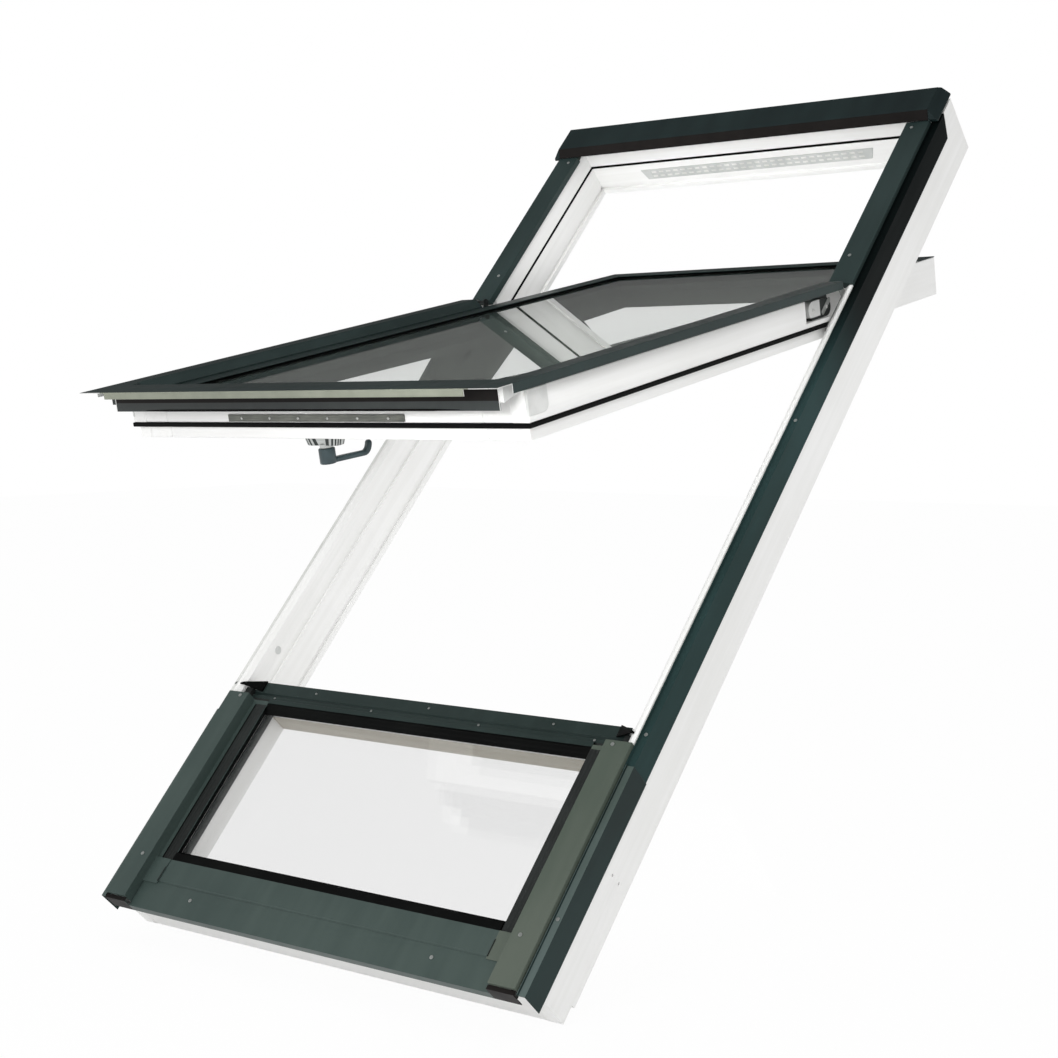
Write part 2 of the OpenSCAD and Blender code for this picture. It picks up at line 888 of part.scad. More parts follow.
// Raised cover over a stile and its closing strip, slanted down to the glazing cap above the plate
module stile_cover(side) {
    foot = bottom_v - plate_reach + stile_cover_end;
    inner = stile_out - sheet;
    seat = timber_w + sheet;
    outer_points = [[clad_out, clad_rise - stile_cover_lip], [clad_out, clad_rise]];
    level_points = concat(outer_points, [[inner, clad_rise]]);
    slant_points = concat(outer_points, [[inner + stile_cover_slant, clad_rise], [inner, seat + sheet]]);
    color(dark_sheet) on_sash() handed(side) {
        along_slope(foot, bottom_v) polygon(fold(level_points, sheet));
        along_slope(bottom_v, stile_cover_v) polygon(fold(slant_points, sheet));
        block([inner, bottom_v, seat], [stile_out, stile_cover_v, seat + 2 * sheet]);
    }
}

// Plate below the glass: climbs from the glass edge, runs forward and turns down in a lip
module bottom_plate() {
    low_w = timber_w + sheet;
    climb = bottom_v - plate_flat;
    inner = stile_out - sheet;
    wing = bottom_v - plate_reach + stile_cover_end;
    top_points = [
        [bottom_v, low_w], [climb, low_w], [climb - plate_climb, clad_rise], [plate_front, clad_rise]
    ];
    lip_points = concat(top_points, [[plate_front, clad_rise - plate_lip]]);
    color(dark_sheet) on_sash() {
        across(plate_notch - clad_out, clad_out - plate_notch) polygon(fold(lip_points, sheet));
        across(-inner, inner) polygon(fold(top_points, sheet));
        block([-clad_out, plate_front, clad_rise - sheet], [clad_out, wing, clad_rise]);
    }
}

// Web under the plate that closes on the transom cover
module drip_web() {
    top = clad_rise - sheet;
    color(dark_sheet) on_sash() across(-web_half, web_half)
        polygon(fold([[web_v + web_flange, top], [web_v, top], [web_v, web_bottom]], sheet));
}

// Dark return at each end of the web
module web_corner(side) {
    top = clad_rise - sheet;
    color(black_rubber) on_sash() handed(side) across(web_half, web_half + corner_t) polygon([
        [web_v, top], [bottom_v + corner_back, top], [bottom_v + corner_back, timber_w + corner_gap],
        [bottom_v, timber_w + corner_gap], [web_v, clad_rise - corner_drop]
    ]);
}

module sash_pane(face) {
    color(clear_glass) on_sash() pane(sash_edge, bottom_edge_v, top_edge_v, face);
}

module sash_spacer() {
    color(spacer_grey) on_sash() spacer(sash_edge, bottom_edge_v, top_edge_v, glass_w);
}

// Glazing gasket of the sash with a bead in front of the caps
module sash_gasket() {
    sight = sash_edge - sight_w;
    low = bottom_edge_v + sight_low;
    high = top_edge_v - sight_w;
    color(black_rubber) on_sash() {
        ring(sash_edge, bottom_edge_v, top_edge_v, sight, low, high, glass_w, timber_w);
        ring(
            sight + bead_in_w, bottom_v, high + bead_in_w, sight, low, high,
            timber_w, timber_w + sheet
        );
    }
}

// Hinge arm on the stile, with its pivot pin and friction block
module hinge_arm(side) {
    plate_out = stile_out + hinge_t;
    color(lever_grey) on_sash() handed(side) {
        across(stile_out, plate_out) {
            translate([-arm_l, hinge_foot_w]) square([arm_l + arm_head, hinge_top_w - hinge_foot_w]);
            translate([-hinge_ear_r, hinge_top_w]) square([2 * hinge_ear_r, -hinge_top_w]);
            circle(r = hinge_ear_r);
        }
        across(plate_out, plate_out + block_w) {
            for (v = [block_lo + block_r, block_hi - block_r])
                translate([v, block_mid_w]) circle(r = block_r);
            translate([block_lo + block_r, block_mid_w - block_r])
                square([block_hi - block_lo - 2 * block_r, 2 * block_r]);
        }
        translate([stile_out, 0, 0]) rotate([0, 90, 0]) cylinder(r = pin_r, h = jamb_in - stile_out);
    }
}

module lock_strip() {
    color(steel) on_sash()
        block(
            [-lock_half, bottom_v - lock_t, lock_top_w - lock_h],
            [lock_half, bottom_v, lock_top_w]
        );
}

module sash_screws() {
    lock_pitch = 2 * lock_half / lock_screws;
    color(steel) on_sash() {
        for (i = [0 : lock_screws - 1])
            translate([(i + 0.5) * lock_pitch - lock_half, bottom_v - lock_t, lock_top_w - lock_h / 2])
                rotate([90, 0, 0]) screw_head(small_screw_r);
        for (side = [left, right], v = [block_lo + block_r, block_hi - block_r]) handed(side)
            translate([stile_out + hinge_t + block_w, v, block_mid_w])
                rotate([0, 90, 0]) screw_head(screw_r);
    }
}

// Fluted base of the handle, with its boss and spindle
module handle_base() {
    end_r = handle_h / 2;
    flute_pitch = 2 * (handle_half - end_r) / (flute_count - 1);
    color(cap_grey) on_sash() translate([0, handle_v, room_w]) {
        difference() {
            translate([0, 0, -handle_t]) linear_extrude(handle_t) {
                translate([end_r - handle_half, -end_r]) square([2 * (handle_half - end_r), handle_h]);
                for (end = [-1, 1]) translate([end * (handle_half - end_r), 0]) circle(r = end_r);
            }
            for (i = [0 : flute_count - 1])
                translate([end_r - handle_half + i * flute_pitch, -end_r, -handle_t - overrun])
                    cylinder(r = flute_r, h = handle_t + 2 * overrun);
        }
        translate([0, 0, -handle_t - boss_l]) cylinder(r = boss_r, h = boss_l);
        translate([0, 0, -handle_t - boss_l - spindle_l]) cylinder(r = spindle_r, h = spindle_l + boss_l);
    }
}

// Straight line that touches two circles on the lever's axis, on one side of it
function tangent_point(y, r, lean, side) = [side * r * cos(lean), y + r * sin(lean)];

module handle_lever() {
    face = -handle_t - boss_l - lever_gap;
    tip_y = lever_l - lever_tip_r;
    lean = asin((lever_root_r - lever_tip_r) / tip_y);
    color(lever_grey) on_sash() translate([0, handle_v, room_w]) rotate([0, 0, -lever_angle]) difference() {
        union() {
            translate([0, 0, face - lever_hub_l]) cylinder(r = lever_hub_r, h = lever_hub_l);
            translate([0, 0, face - lever_hub_l]) linear_extrude(lever_t) {
                polygon([
                    tangent_point(0, lever_root_r, lean, 1), tangent_point(tip_y, lever_tip_r, lean, 1),
                    tangent_point(tip_y, lever_tip_r, lean, -1), tangent_point(0, lever_root_r, lean, -1)
                ]);
                translate([0, tip_y]) circle(r = lever_tip_r);
            }
            translate([0, tip_y, face - lever_hub_l]) cylinder(r = lever_tip_r, h = lever_tip_h);
        }
        translate([0, 0, face - spindle_l]) cylinder(r = spindle_r + running_gap, h = spindle_l + overrun);
    }
}

jamb(left);  // jamb_left
jamb(right);  // jamb_right
head_rail();
sill_rail();
transom_rail();
light_stile(left);  // light_stile_left
light_stile(right);  // light_stile_right
upper_stop(left);  // upper_stop_left
upper_stop(right);  // upper_stop_right
upper_seal();
vent_grille();
edge_profile_lower(left);  // edge_profile_lower_left
edge_profile_lower(right);  // edge_profile_lower_right
edge_profile_upper(left);  // edge_profile_upper_left
edge_profile_upper(right);  // edge_profile_upper_right
upper_cover(left);  // upper_cover_left
upper_cover(right);  // upper_cover_right
hood();
hood_end(left);  // hood_end_left
hood_end(right);  // hood_end_right
lower_cover(left);  // lower_cover_left
lower_cover(right);  // lower_cover_right
bottom_cover();
transom_cover();
transom_plug(left);  // transom_plug_left
transom_plug(right);  // transom_plug_right
light_pane(light_glass_drop);  // light_pane_outer
light_pane(light_back - pane_t);  // light_pane_inner
light_spacer();
light_gasket();
glazing_clips();
hinge_plate(left);  // hinge_plate_left
hinge_plate(right);  // hinge_plate_right
frame_screws();
sash_stile(left);  // sash_stile_left
sash_stile(right);  // sash_stile_right
sash_top_rail();
sash_bottom_rail();
closing_strip(left);  // closing_strip_left
closing_strip(right);  // closing_strip_right
strip_cap(left);  // strip_cap_left
strip_cap(right);  // strip_cap_right
closing_seal();
glazing_caps();
stile_cover(left);  // stile_cover_left
stile_cover(right);  // stile_cover_right
bottom_plate();
drip_web();
web_corner(left);  // web_corner_left
web_corner(right);  // web_corner_right
sash_pane(glass_w);  // sash_pane_outer
sash_pane(glass_back_w + pane_t);  // sash_pane_inner
sash_spacer();
sash_gasket();
hinge_arm(left);  // hinge_arm_left
hinge_arm(right);  // hinge_arm_right
lock_strip();
handle_base();
sash_screws();
handle_lever();
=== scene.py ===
"""Roof skylight: the looks of a pivot sash over a fixed light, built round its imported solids.

Lengths are metres. The window has axes of its own, across, up the slope and out of the roof, and
the sash has another set on its pivot line. Every piece is worked out in one of them and carried to
the row frame.
"""
import json
import logging
import math
from collections.abc import Iterable, Iterator, Mapping, Sequence
from contextlib import contextmanager
from dataclasses import dataclass
from enum import Enum

import bmesh
import bpy
import numpy as np
from mathutils import Matrix, Vector


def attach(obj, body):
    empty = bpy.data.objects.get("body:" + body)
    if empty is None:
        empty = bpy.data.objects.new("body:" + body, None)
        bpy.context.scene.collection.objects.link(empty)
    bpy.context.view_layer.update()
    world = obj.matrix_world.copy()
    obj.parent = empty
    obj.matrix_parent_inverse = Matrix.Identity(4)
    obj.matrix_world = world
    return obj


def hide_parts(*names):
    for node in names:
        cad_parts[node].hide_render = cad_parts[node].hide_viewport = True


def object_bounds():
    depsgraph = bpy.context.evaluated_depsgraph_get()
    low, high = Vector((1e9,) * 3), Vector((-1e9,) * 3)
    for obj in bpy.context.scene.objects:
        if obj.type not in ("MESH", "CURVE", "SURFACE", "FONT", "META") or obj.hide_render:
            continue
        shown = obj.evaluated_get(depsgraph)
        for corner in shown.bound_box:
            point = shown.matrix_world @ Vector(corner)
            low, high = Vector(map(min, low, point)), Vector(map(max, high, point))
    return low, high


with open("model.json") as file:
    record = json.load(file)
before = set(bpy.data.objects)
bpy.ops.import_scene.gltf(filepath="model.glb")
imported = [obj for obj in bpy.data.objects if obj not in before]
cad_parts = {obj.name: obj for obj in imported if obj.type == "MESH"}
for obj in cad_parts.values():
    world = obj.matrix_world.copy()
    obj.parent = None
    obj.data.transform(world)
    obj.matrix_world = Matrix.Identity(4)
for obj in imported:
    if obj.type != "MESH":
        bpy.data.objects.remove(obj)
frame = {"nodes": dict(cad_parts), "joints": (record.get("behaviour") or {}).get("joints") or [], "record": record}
CAD_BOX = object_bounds()

LOG = logging.getLogger("skylight")
SHARP_ANGLE = math.radians(32.0)
FLAT_ANGLE = math.radians(0.5)
MERGE_DISTANCE = 1e-6
FULL_TURN = 2.0 * math.pi
ARRIS_STEPS = 2
BAR_POINTS = 24
CLIP_ARRIS = 0.0005
ACROSS = np.array([1.0, 0.0, 0.0])
ASKEW = np.array([0.31, 0.62, 0.72])
ANYWHERE = (-math.inf, math.inf)
NO_TURN = (0.0, 0.0, 0.0)
EVEN = (1.0, 1.0, 1.0)
WHITE = (1.0, 1.0, 1.0, 1.0)
NOISE_MEAN = 0.5
MIX_FACTOR, MIX_FIRST, MIX_SECOND, MIX_COLOUR = 0, 6, 7, 2


class Side(Enum):
    """The left and the right half of the window."""

    LEFT = "left"
    RIGHT = "right"

    def __str__(self) -> str:
        """The word that ends the names of this side's nodes."""
        return self.value

    @property
    def reach(self) -> float:
        """Sign of the places across on this side."""
        return -1.0 if self is Side.LEFT else 1.0


class Corner(Enum):
    """How square a rounded bar is: the power of its outline."""

    CRISP = 8.0
    FIRM = 6.0
    BULB = 5.0
    SOFT = 4.0
    GRIP = 3.6


class Detail(Enum):
    """How many finer layers a noise has."""

    FINE = 2.0
    SOFT = 3.0
    STREAKED = 4.0
    RICH = 5.0


def srgb(code: str) -> tuple[float, float, float, float]:
    """Linear colour of a hexadecimal screen colour, by the standard screen curve.

    Args:
        code: six hexadecimal digits after a hash sign.

    Returns:
        Red, green, blue and a full alpha.
    """
    parts = [int(code[i:i + 2], 16) / 255.0 for i in (1, 3, 5)]
    linear = [c / 12.92 if c <= 0.04045 else ((c + 0.055) / 1.055) ** 2.4 for c in parts]
    return linear[0], linear[1], linear[2], 1.0


@dataclass(frozen=True)
class Axes:
    """Directions across, up and out of a flat assembly, and their zero point in the row frame."""

    zero: np.ndarray
    up: np.ndarray
    out: np.ndarray

    @property
    def turn(self) -> np.ndarray:
        """The three directions as the rows of a matrix."""
        return np.stack([ACROSS, self.up, self.out])

    @property
    def pitch(self) -> float:
        """Angle of the up direction above the horizontal."""
        return math.atan2(self.up[2], self.up[1])

    def to_row(self, local: np.ndarray) -> np.ndarray:
        """Carries points of these axes to the row frame."""
        return local @ self.turn + self.zero

    def to_local(self, row: np.ndarray) -> np.ndarray:
        """Carries points of the row frame to these axes."""
        return (row - self.zero) @ self.turn.T

    def points(self, node: str) -> np.ndarray:
        """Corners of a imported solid.

        Args:
            node: the solid's name.

        Returns:
            Corners by three, in these axes.
        """
        mesh = frame["nodes"][node].data
        flat = np.empty(len(mesh.vertices) * 3)
        mesh.vertices.foreach_get("co", flat)
        return self.to_local(flat.reshape(-1, 3))

    def span(self, node: str) -> tuple[np.ndarray, np.ndarray]:
        """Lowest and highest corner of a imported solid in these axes."""
        corners = self.points(node)
        return corners.min(0), corners.max(0)

    def sideways(self, node: str) -> tuple[float, float]:
        """Distances from the middle of the nearer and the farther end of a solid, across."""
        near, far = sorted(abs(end[0]) for end in self.span(node))
        return near, far


def joint(name: str) -> Mapping:
    """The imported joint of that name."""
    return next(j for j in frame["joints"] if j["name"] == name)


def axes_towards(zero: np.ndarray, out: np.ndarray) -> Axes:
    """Axes with a given outward direction, level across."""
    return Axes(zero, np.cross(out, ACROSS), out)


def window_axes() -> Axes:
    """Finds the axes of the window.

    Returns:
        The axes, zero on the timber rim at the foot of the edge profiles.
    """
    mount = next(m for m in frame["record"]["mounts"] if m["name"] == "room_face")
    plain = axes_towards(np.zeros(3), -np.array(mount["axis"]))
    foot = plain.span("edge_profile_lower_right")[0][1]
    rim = plain.span("jamb_right")[1][2]
    return Axes(foot * plain.up + rim * plain.out, plain.up, plain.out)


def sash_axes() -> Axes:
    """Axes of the sash, zero on its pivot line."""
    pivot = np.array(joint("sash_pivot")["pos_m"])
    return axes_towards(pivot, -np.array(joint("handle_turn")["axis"]))


WINDOW = window_axes()
SASH = sash_axes()


class Value:
    """A shader socket that Python expressions can use."""

    def __init__(self, graph: "Graph", socket: bpy.types.NodeSocket) -> None:
        """Keeps the socket and the graph that new nodes go to."""
        self.graph = graph
        self.socket = socket

    def _math(self, operation: str, first: object, second: object) -> "Value":
        """Adds one Math node for an operation on two values."""
        return self.graph.value("ShaderNodeMath", {"operation": operation}, {0: first, 1: second})

    def __add__(self, other: object) -> "Value":
        """Sum."""
        return self._math("ADD", self, other)

    def __sub__(self, other: object) -> "Value":
        """Difference."""
        return self._math("SUBTRACT", self, other)

    def __rsub__(self, other: object) -> "Value":
        """Difference from a plain number."""
        return self._math("SUBTRACT", other, self)

    def __mul__(self, other: object) -> "Value":
        """Product."""
        return self._math("MULTIPLY", self, other)

    def __gt__(self, other: object) -> "Value":
        """One where this value is greater, else zero."""
        return self._math("GREATER_THAN", self, other)

    __radd__ = __add__
    __rmul__ = __mul__

    def sine(self) -> "Value":
        """Sine of this value in radians."""
        return self._math("SINE", self, 0.0)

    def between(self, low: float, high: float) -> "Value":
        """Smooth step from zero at low to one at high."""
        return self.graph.value(
            "ShaderNodeMapRange",
            {"interpolation_type": "SMOOTHSTEP"},
            {"Value": self, "From Min": low, "From Max": high},
        )


class Graph:
    """The nodes of one material or world."""

    def __init__(self, tree: bpy.types.NodeTree) -> None:
        """Empties the tree and keeps it."""
        tree.nodes.clear()
        self.tree = tree

    def node(self, kind: str, settings: Mapping, inputs: Mapping) -> bpy.types.Node:
        """Adds a node.

        Args:
            kind: the node's type.
            settings: attributes of the node, set first.
            inputs: values or links of its sockets, by name or place.

        Returns:
            The new node.
        """
        made = self.tree.nodes.new(kind)
        for key, setting in settings.items():
            setattr(made, key, setting)
        for key, given in inputs.items():
            if isinstance(given, Value):
                self.tree.links.new(given.socket, made.inputs[key])
            else:
                made.inputs[key].default_value = given
        return made

    def value(self, kind: str, settings: Mapping, inputs: Mapping, output: str | int = 0) -> Value:
        """Adds a node and returns one of its outputs."""
        return Value(self, self.node(kind, settings, inputs).outputs[output])

    def mix(self, factor: object, first: object, second: object) -> Value:
        """Blends two colours by a factor."""
        sockets = {MIX_FACTOR: factor, MIX_FIRST: first, MIX_SECOND: second}
        return self.value("ShaderNodeMix", {"data_type": "RGBA"}, sockets, MIX_COLOUR)

    def place(self, turn: Sequence[float], scale: Sequence[float]) -> Value:
        """Object coordinates, turned and then stretched.

        Args:
            turn: angles of the turn.
            scale: stretch along each axis.

        Returns:
            The place as a vector.
        """
        source = self.value("ShaderNodeTexCoord", {}, {}, "Object")
        turned = self.value("ShaderNodeMapping", {}, {"Vector": source, "Rotation": turn})
        return self.value("ShaderNodeMapping", {}, {"Vector": turned, "Scale": scale})

    def parts(self, vector: Value) -> list[Value]:
        """The three numbers of a vector."""
        made = self.node("ShaderNodeSeparateXYZ", {}, {0: vector})
        return [Value(self, output) for output in made.outputs]

    def noise(self, where: Value, scale: float, detail: Detail) -> Value:
        """Soft noise at a place."""
        sockets = {"Vector": where, "Scale": scale, "Detail": detail.value}
        return self.value("ShaderNodeTexNoise", {}, sockets)

    def bump(self, height: Value, strength: float, distance: float) -> Value:
        """Surface normal of a small height pattern."""
        sockets = {"Height": height, "Strength": strength, "Distance": distance}
        return self.value("ShaderNodeBump", {}, sockets)

    def glow(self, colour: object) -> Value:
        """An even glow of a colour."""
        return self.value("ShaderNodeEmission", {}, {"Color": colour, "Strength": 1.0})

    def close(self, shader: Value) -> None:
        """Ends a material with its shader."""
        self.node("ShaderNodeOutputMaterial", {}, {"Surface": shader})

    def surface(self, inputs: Mapping) -> None:
        """Ends a material with a Principled shader."""
        self.close(self.value("ShaderNodeBsdfPrincipled", {}, inputs))


MATERIALS: dict[str, bpy.types.Material] = {}


class Finish:
    """A surface finish, made into a material once and then shared."""

    name: str

    def paint(self, graph: Graph) -> None:
        """Adds this finish's nodes to an empty graph."""
        raise NotImplementedError

    def material(self) -> bpy.types.Material:
        """The material of this finish, made at its first use."""
        if self.name not in MATERIALS:
            made = bpy.data.materials.new(f"{self.name}_finish")
            made.use_nodes = True
            self.paint(Graph(made.node_tree))
            MATERIALS[self.name] = made
        return MATERIALS[self.name]


class Grain(Enum):
    """Way that a timber member's grain runs."""

    UP_SLOPE = "up_slope"
    UP_SASH = "up_sash"
    ACROSS = "across"

    @property
    def turn(self) -> tuple[float, float, float]:
        """Turn that lays the grain along a main axis.

        Returns:
            Angles about the three axes.
        """
        if self is Grain.UP_SLOPE:
            return -WINDOW.pitch, 0.0, 0.0
        if self is Grain.UP_SASH:
            return -SASH.pitch, 0.0, 0.0
        return NO_TURN

    def stretch(self, fine: float, coarse: float) -> tuple[float, float, float]:
        """Scale of a pattern that is fine across the grain and coarse along it.

        Args:
            fine: scale across the grain.
            coarse: scale along it.

        Returns:
            Scale along the three axes.
        """
        if self is Grain.ACROSS:
            return coarse, fine, fine
        return fine, coarse, fine


@dataclass(frozen=True)
class PaintedTimber(Finish):
    """White paint over straight timber: faint streaks of grain, soft clouding and a satin sheen."""

    name: str
    grain: Grain
    light: str = "#f4f4f3"
    shade: str = "#ececea"
    streak: float = 95.0
    streak_long: float = 2.4
    cloud: float = 4.0
    speck: float = 420.0
    fibre_tone: float = 0.55
    fibre_height: float = 0.8
    tones: tuple[float, float] = (0.3, 0.72)
    rough: float = 0.42
    rough_swing: float = 0.18
    relief: tuple[float, float] = (0.12, 0.0005)
    gloss: float = 0.4

    def paint(self, graph: Graph) -> None:
        """Adds the paint's nodes.

        Args:
            graph: the material's empty graph.
        """
        along = self.grain.stretch(self.streak, self.streak_long)
        fibre = graph.noise(graph.place(self.grain.turn, along), 1.0, Detail.STREAKED)
        plain = graph.place(NO_TURN, EVEN)
        cloud = graph.noise(plain, self.cloud, Detail.SOFT)
        speck = graph.noise(plain, self.speck, Detail.FINE)
        tone = fibre * self.fibre_tone + cloud * (1.0 - self.fibre_tone)
        height = fibre * self.fibre_height + speck * (1.0 - self.fibre_height)
        graph.surface({
            "Base Color": graph.mix(tone.between(*self.tones), srgb(self.shade), srgb(self.light)),
            "Roughness": self.rough + (cloud - NOISE_MEAN) * self.rough_swing,
            "Normal": graph.bump(height, *self.relief),
            "Specular IOR Level": self.gloss,
        })


@dataclass(frozen=True)
class Lacquer(Finish):
    """Lacquered sheet: fine orange peel, soft clouding and a few rubbed streaks down the slope."""

    name: str
    light: str
    shade: str
    rough: float = 0.42
    gloss: float = 0.22
    # upper: a painted shade colour that the lacquer darkens to up the slope
    upper: str = ""
    fade: tuple[float, float] = (0.0, 1.0)
    cloud: float = 3.2
    peel: float = 700.0
    rub: tuple[float, float, float] = (38.0, 5.0, 38.0)
    cloud_tone: float = 0.6
    tones: tuple[float, float] = (0.32, 0.7)
    rub_swing: float = 0.22
    peel_swing: float = 0.08
    relief: tuple[float, float] = (0.16, 0.00012)

    def paint(self, graph: Graph) -> None:
        """Adds the lacquer's nodes; upper is the painted shade it darkens to up the slope, or empty.

        Args:
            graph: the material's empty graph.
        """
        plain = graph.place(NO_TURN, EVEN)
        cloud = graph.noise(plain, self.cloud, Detail.STREAKED)
        peel = graph.noise(plain, self.peel, Detail.FINE)
        rub = graph.noise(graph.place(Grain.UP_SLOPE.turn, self.rub), 1.0, Detail.RICH)
        tone = (cloud * self.cloud_tone + rub * (1.0 - self.cloud_tone)).between(*self.tones)
        colour = graph.mix(tone, srgb(self.shade), srgb(self.light))
        # painted shade: the colour darkens towards upper further up the slope
        if self.upper:
            climb = graph.parts(graph.place(Grain.UP_SLOPE.turn, EVEN))[1]
            foot = float(WINDOW.zero @ WINDOW.up)
            share = climb.between(self.fade[0] + foot, self.fade[1] + foot)
            colour = graph.mix(share, colour, srgb(self.upper))
        rubbed = self.rough + (rub - NOISE_MEAN) * self.rub_swing
        graph.surface({
            "Base Color": colour,
            "Roughness": rubbed + (peel - NOISE_MEAN) * self.peel_swing,
            "Normal": graph.bump(peel, *self.relief),
            "Specular IOR Level": self.gloss,
        })


@dataclass(frozen=True)
class Rubber(Finish):
    """Black seal rubber: matt, with a grey bloom in patches and fine extrusion lines."""

    name: str
    light: str = "#0c0e0d"
    shade: str = "#050606"
    gloss: float = 0.1
    bloom: float = 9.0
    tones: tuple[float, float] = (0.35, 0.75)
    lines: tuple[float, float, float] = (900.0, 6.0, 900.0)
    rough: float = 0.62
    rough_swing: float = 0.2
    relief: tuple[float, float] = (0.2, 0.0002)

    def paint(self, graph: Graph) -> None:
        """Adds the rubber's nodes.

        Args:
            graph: the material's empty graph.
        """
        bloom = graph.noise(graph.place(NO_TURN, EVEN), self.bloom, Detail.STREAKED)
        line = graph.noise(graph.place(Grain.UP_SLOPE.turn, self.lines), 1.0, Detail.FINE)
        graph.surface({
            "Base Color": graph.mix(bloom.between(*self.tones), srgb(self.shade), srgb(self.light)),
            "Roughness": self.rough + (bloom - NOISE_MEAN) * self.rough_swing,
            "Normal": graph.bump(line, *self.relief),
            "Specular IOR Level": self.gloss,
        })


@dataclass(frozen=True)
class Glazing(Finish):
    """Clear float glass with a slight tint and a faint film of dust."""

    name: str
    tint: str
    bend: float = 1.45
    film: float = 0.012
    dust: float = 5.0
    dusty: tuple[float, float] = (0.5, 0.9)

    def paint(self, graph: Graph) -> None:
        """Adds the glass's nodes.

        Args:
            graph: the material's empty graph.
        """
        dust = graph.noise(graph.place(NO_TURN, EVEN), self.dust, Detail.RICH)
        graph.surface({
            "Base Color": srgb(self.tint),
            "Roughness": dust.between(*self.dusty) * self.film,
            "IOR": self.bend,
            "Transmission Weight": 1.0,
        })


@dataclass(frozen=True)
class BareMetal(Finish):
    """Plated or mill-finish metal with a brushed streak and dull patches."""

    name: str
    light: str
    shade: str
    rough: float = 0.34
    dots: float = 0.0
    brush: tuple[float, float, float] = (40.0, 800.0, 800.0)
    dull: float = 24.0
    brush_tone: float = 0.5
    tones: tuple[float, float] = (0.3, 0.7)
    rough_swing: float = 0.25
    metal: float = 0.9
    relief: tuple[float, float] = (0.12, 0.0001)
    dot: str = "#1d1f1f"
    dot_edge: tuple[float, float] = (0.35, 0.75)

    def paint(self, graph: Graph) -> None:
        """Adds the metal's nodes; dots is the spacing of a row of pierced dots, or zero.

        Args:
            graph: the material's empty graph.
        """
        plain = graph.place(NO_TURN, EVEN)
        brush = graph.noise(graph.place(NO_TURN, self.brush), 1.0, Detail.SOFT)
        dull = graph.noise(plain, self.dull, Detail.SOFT)
        tone = (brush * self.brush_tone + dull * (1.0 - self.brush_tone)).between(*self.tones)
        colour = graph.mix(tone, srgb(self.shade), srgb(self.light))
        if self.dots > 0.0:
            wave = 2.0 * math.pi / self.dots
            along, rise = [(part * wave).sine() for part in graph.parts(plain)[:2]]
            colour = graph.mix((along * rise).between(*self.dot_edge), colour, srgb(self.dot))
        graph.surface({
            "Base Color": colour,
            "Roughness": self.rough + (dull - NOISE_MEAN) * self.rough_swing,
            "Metallic": self.metal,
            "Normal": graph.bump(brush, *self.relief),
        })


@dataclass(frozen=True)
class Moulded(Finish):
    """Moulded plastic with a fine spark grain."""

    name: str
    light: str
    shade: str
    rough: float = 0.5
    spark: float = 1100.0
    flow: float = 30.0
    tones: tuple[float, float] = (0.35, 0.7)
    rough_swing: float = 0.2
    relief: tuple[float, float] = (0.3, 0.00015)

    def paint(self, graph: Graph) -> None:
        """Adds the plastic's nodes.

        Args:
            graph: the material's empty graph.
        """
        plain = graph.place(NO_TURN, EVEN)
        spark = graph.noise(plain, self.spark, Detail.FINE)
        flow = graph.noise(plain, self.flow, Detail.SOFT)
        graph.surface({
            "Base Color": graph.mix(flow.between(*self.tones), srgb(self.shade), srgb(self.light)),
            "Roughness": self.rough + (spark - NOISE_MEAN) * self.rough_swing,
            "Normal": graph.bump(spark, *self.relief),
        })


FRAME_TIMBER = PaintedTimber("frame_timber", Grain.UP_SLOPE)
RAIL_TIMBER = PaintedTimber("rail_timber", Grain.ACROSS)
SASH_TIMBER = PaintedTimber("sash_timber", Grain.UP_SASH)
# beige-grey painted shade for white timber faces that look down the slope
UNDERSIDE_PAINTED_SHADE = PaintedTimber("underside_painted_shade", Grain.ACROSS, "#b9b4a9", "#a8a397")
DARK_LACQUER = Lacquer("dark_lacquer", "#2b3938", "#222f2e")
BAND_LACQUER = Lacquer("band_lacquer", "#263534", "#1b2827", rough=0.45, gloss=0.1)
# the cover lacquer lightened as painted light, for the low covers
COVER_LACQUER_PAINTED_LIGHT = Lacquer("cover_lacquer_painted_light", "#45524e", "#3a4744")
# the cover lacquer lightened further as painted light, for the right lower cover
RIGHT_COVER_PAINTED_LIGHT = Lacquer("right_cover_painted_light", "#575f56", "#4b554c")
# edge band lacquer with painted shade that darkens it up the slope
UPPER_BAND_PAINTED_SHADE = Lacquer(
    "upper_band_painted_shade", "#2f4545", "#253837", rough=0.5, gloss=0.05, upper="#091010", fade=(1.2, 1.52),
)
# painted light on the out-facing ledge of the lower edge profiles
LEDGE_PAINTED_LIGHT = Lacquer("ledge_painted_light", "#566361", "#48544f", rough=0.42, gloss=0.15)
TRANSOM_LACQUER = Lacquer("transom_lacquer", "#2a3735", "#222e2c")
WEB_LACQUER = Lacquer("web_lacquer", "#383c3b", "#2f3333")
# pale paint for inner walls, and a painted highlight on the left upper lip and ledge
PALE_WALL_AND_PAINTED_HIGHLIGHT = Lacquer("pale_wall_and_painted_highlight", "#dfe0dd", "#d3d5d1", rough=0.45, gloss=0.2)
# near-black painted shade for faces in deep shadow
DEEP_PAINTED_SHADE = Lacquer("deep_painted_shade", "#1d1a19", "#151312", rough=0.5, gloss=0.1)
# the cover lacquer darkened as painted shade, for the hood
HOOD_LACQUER_PAINTED_SHADE = Lacquer("hood_lacquer_painted_shade", "#202d2d", "#172122", rough=0.45, gloss=0.15)
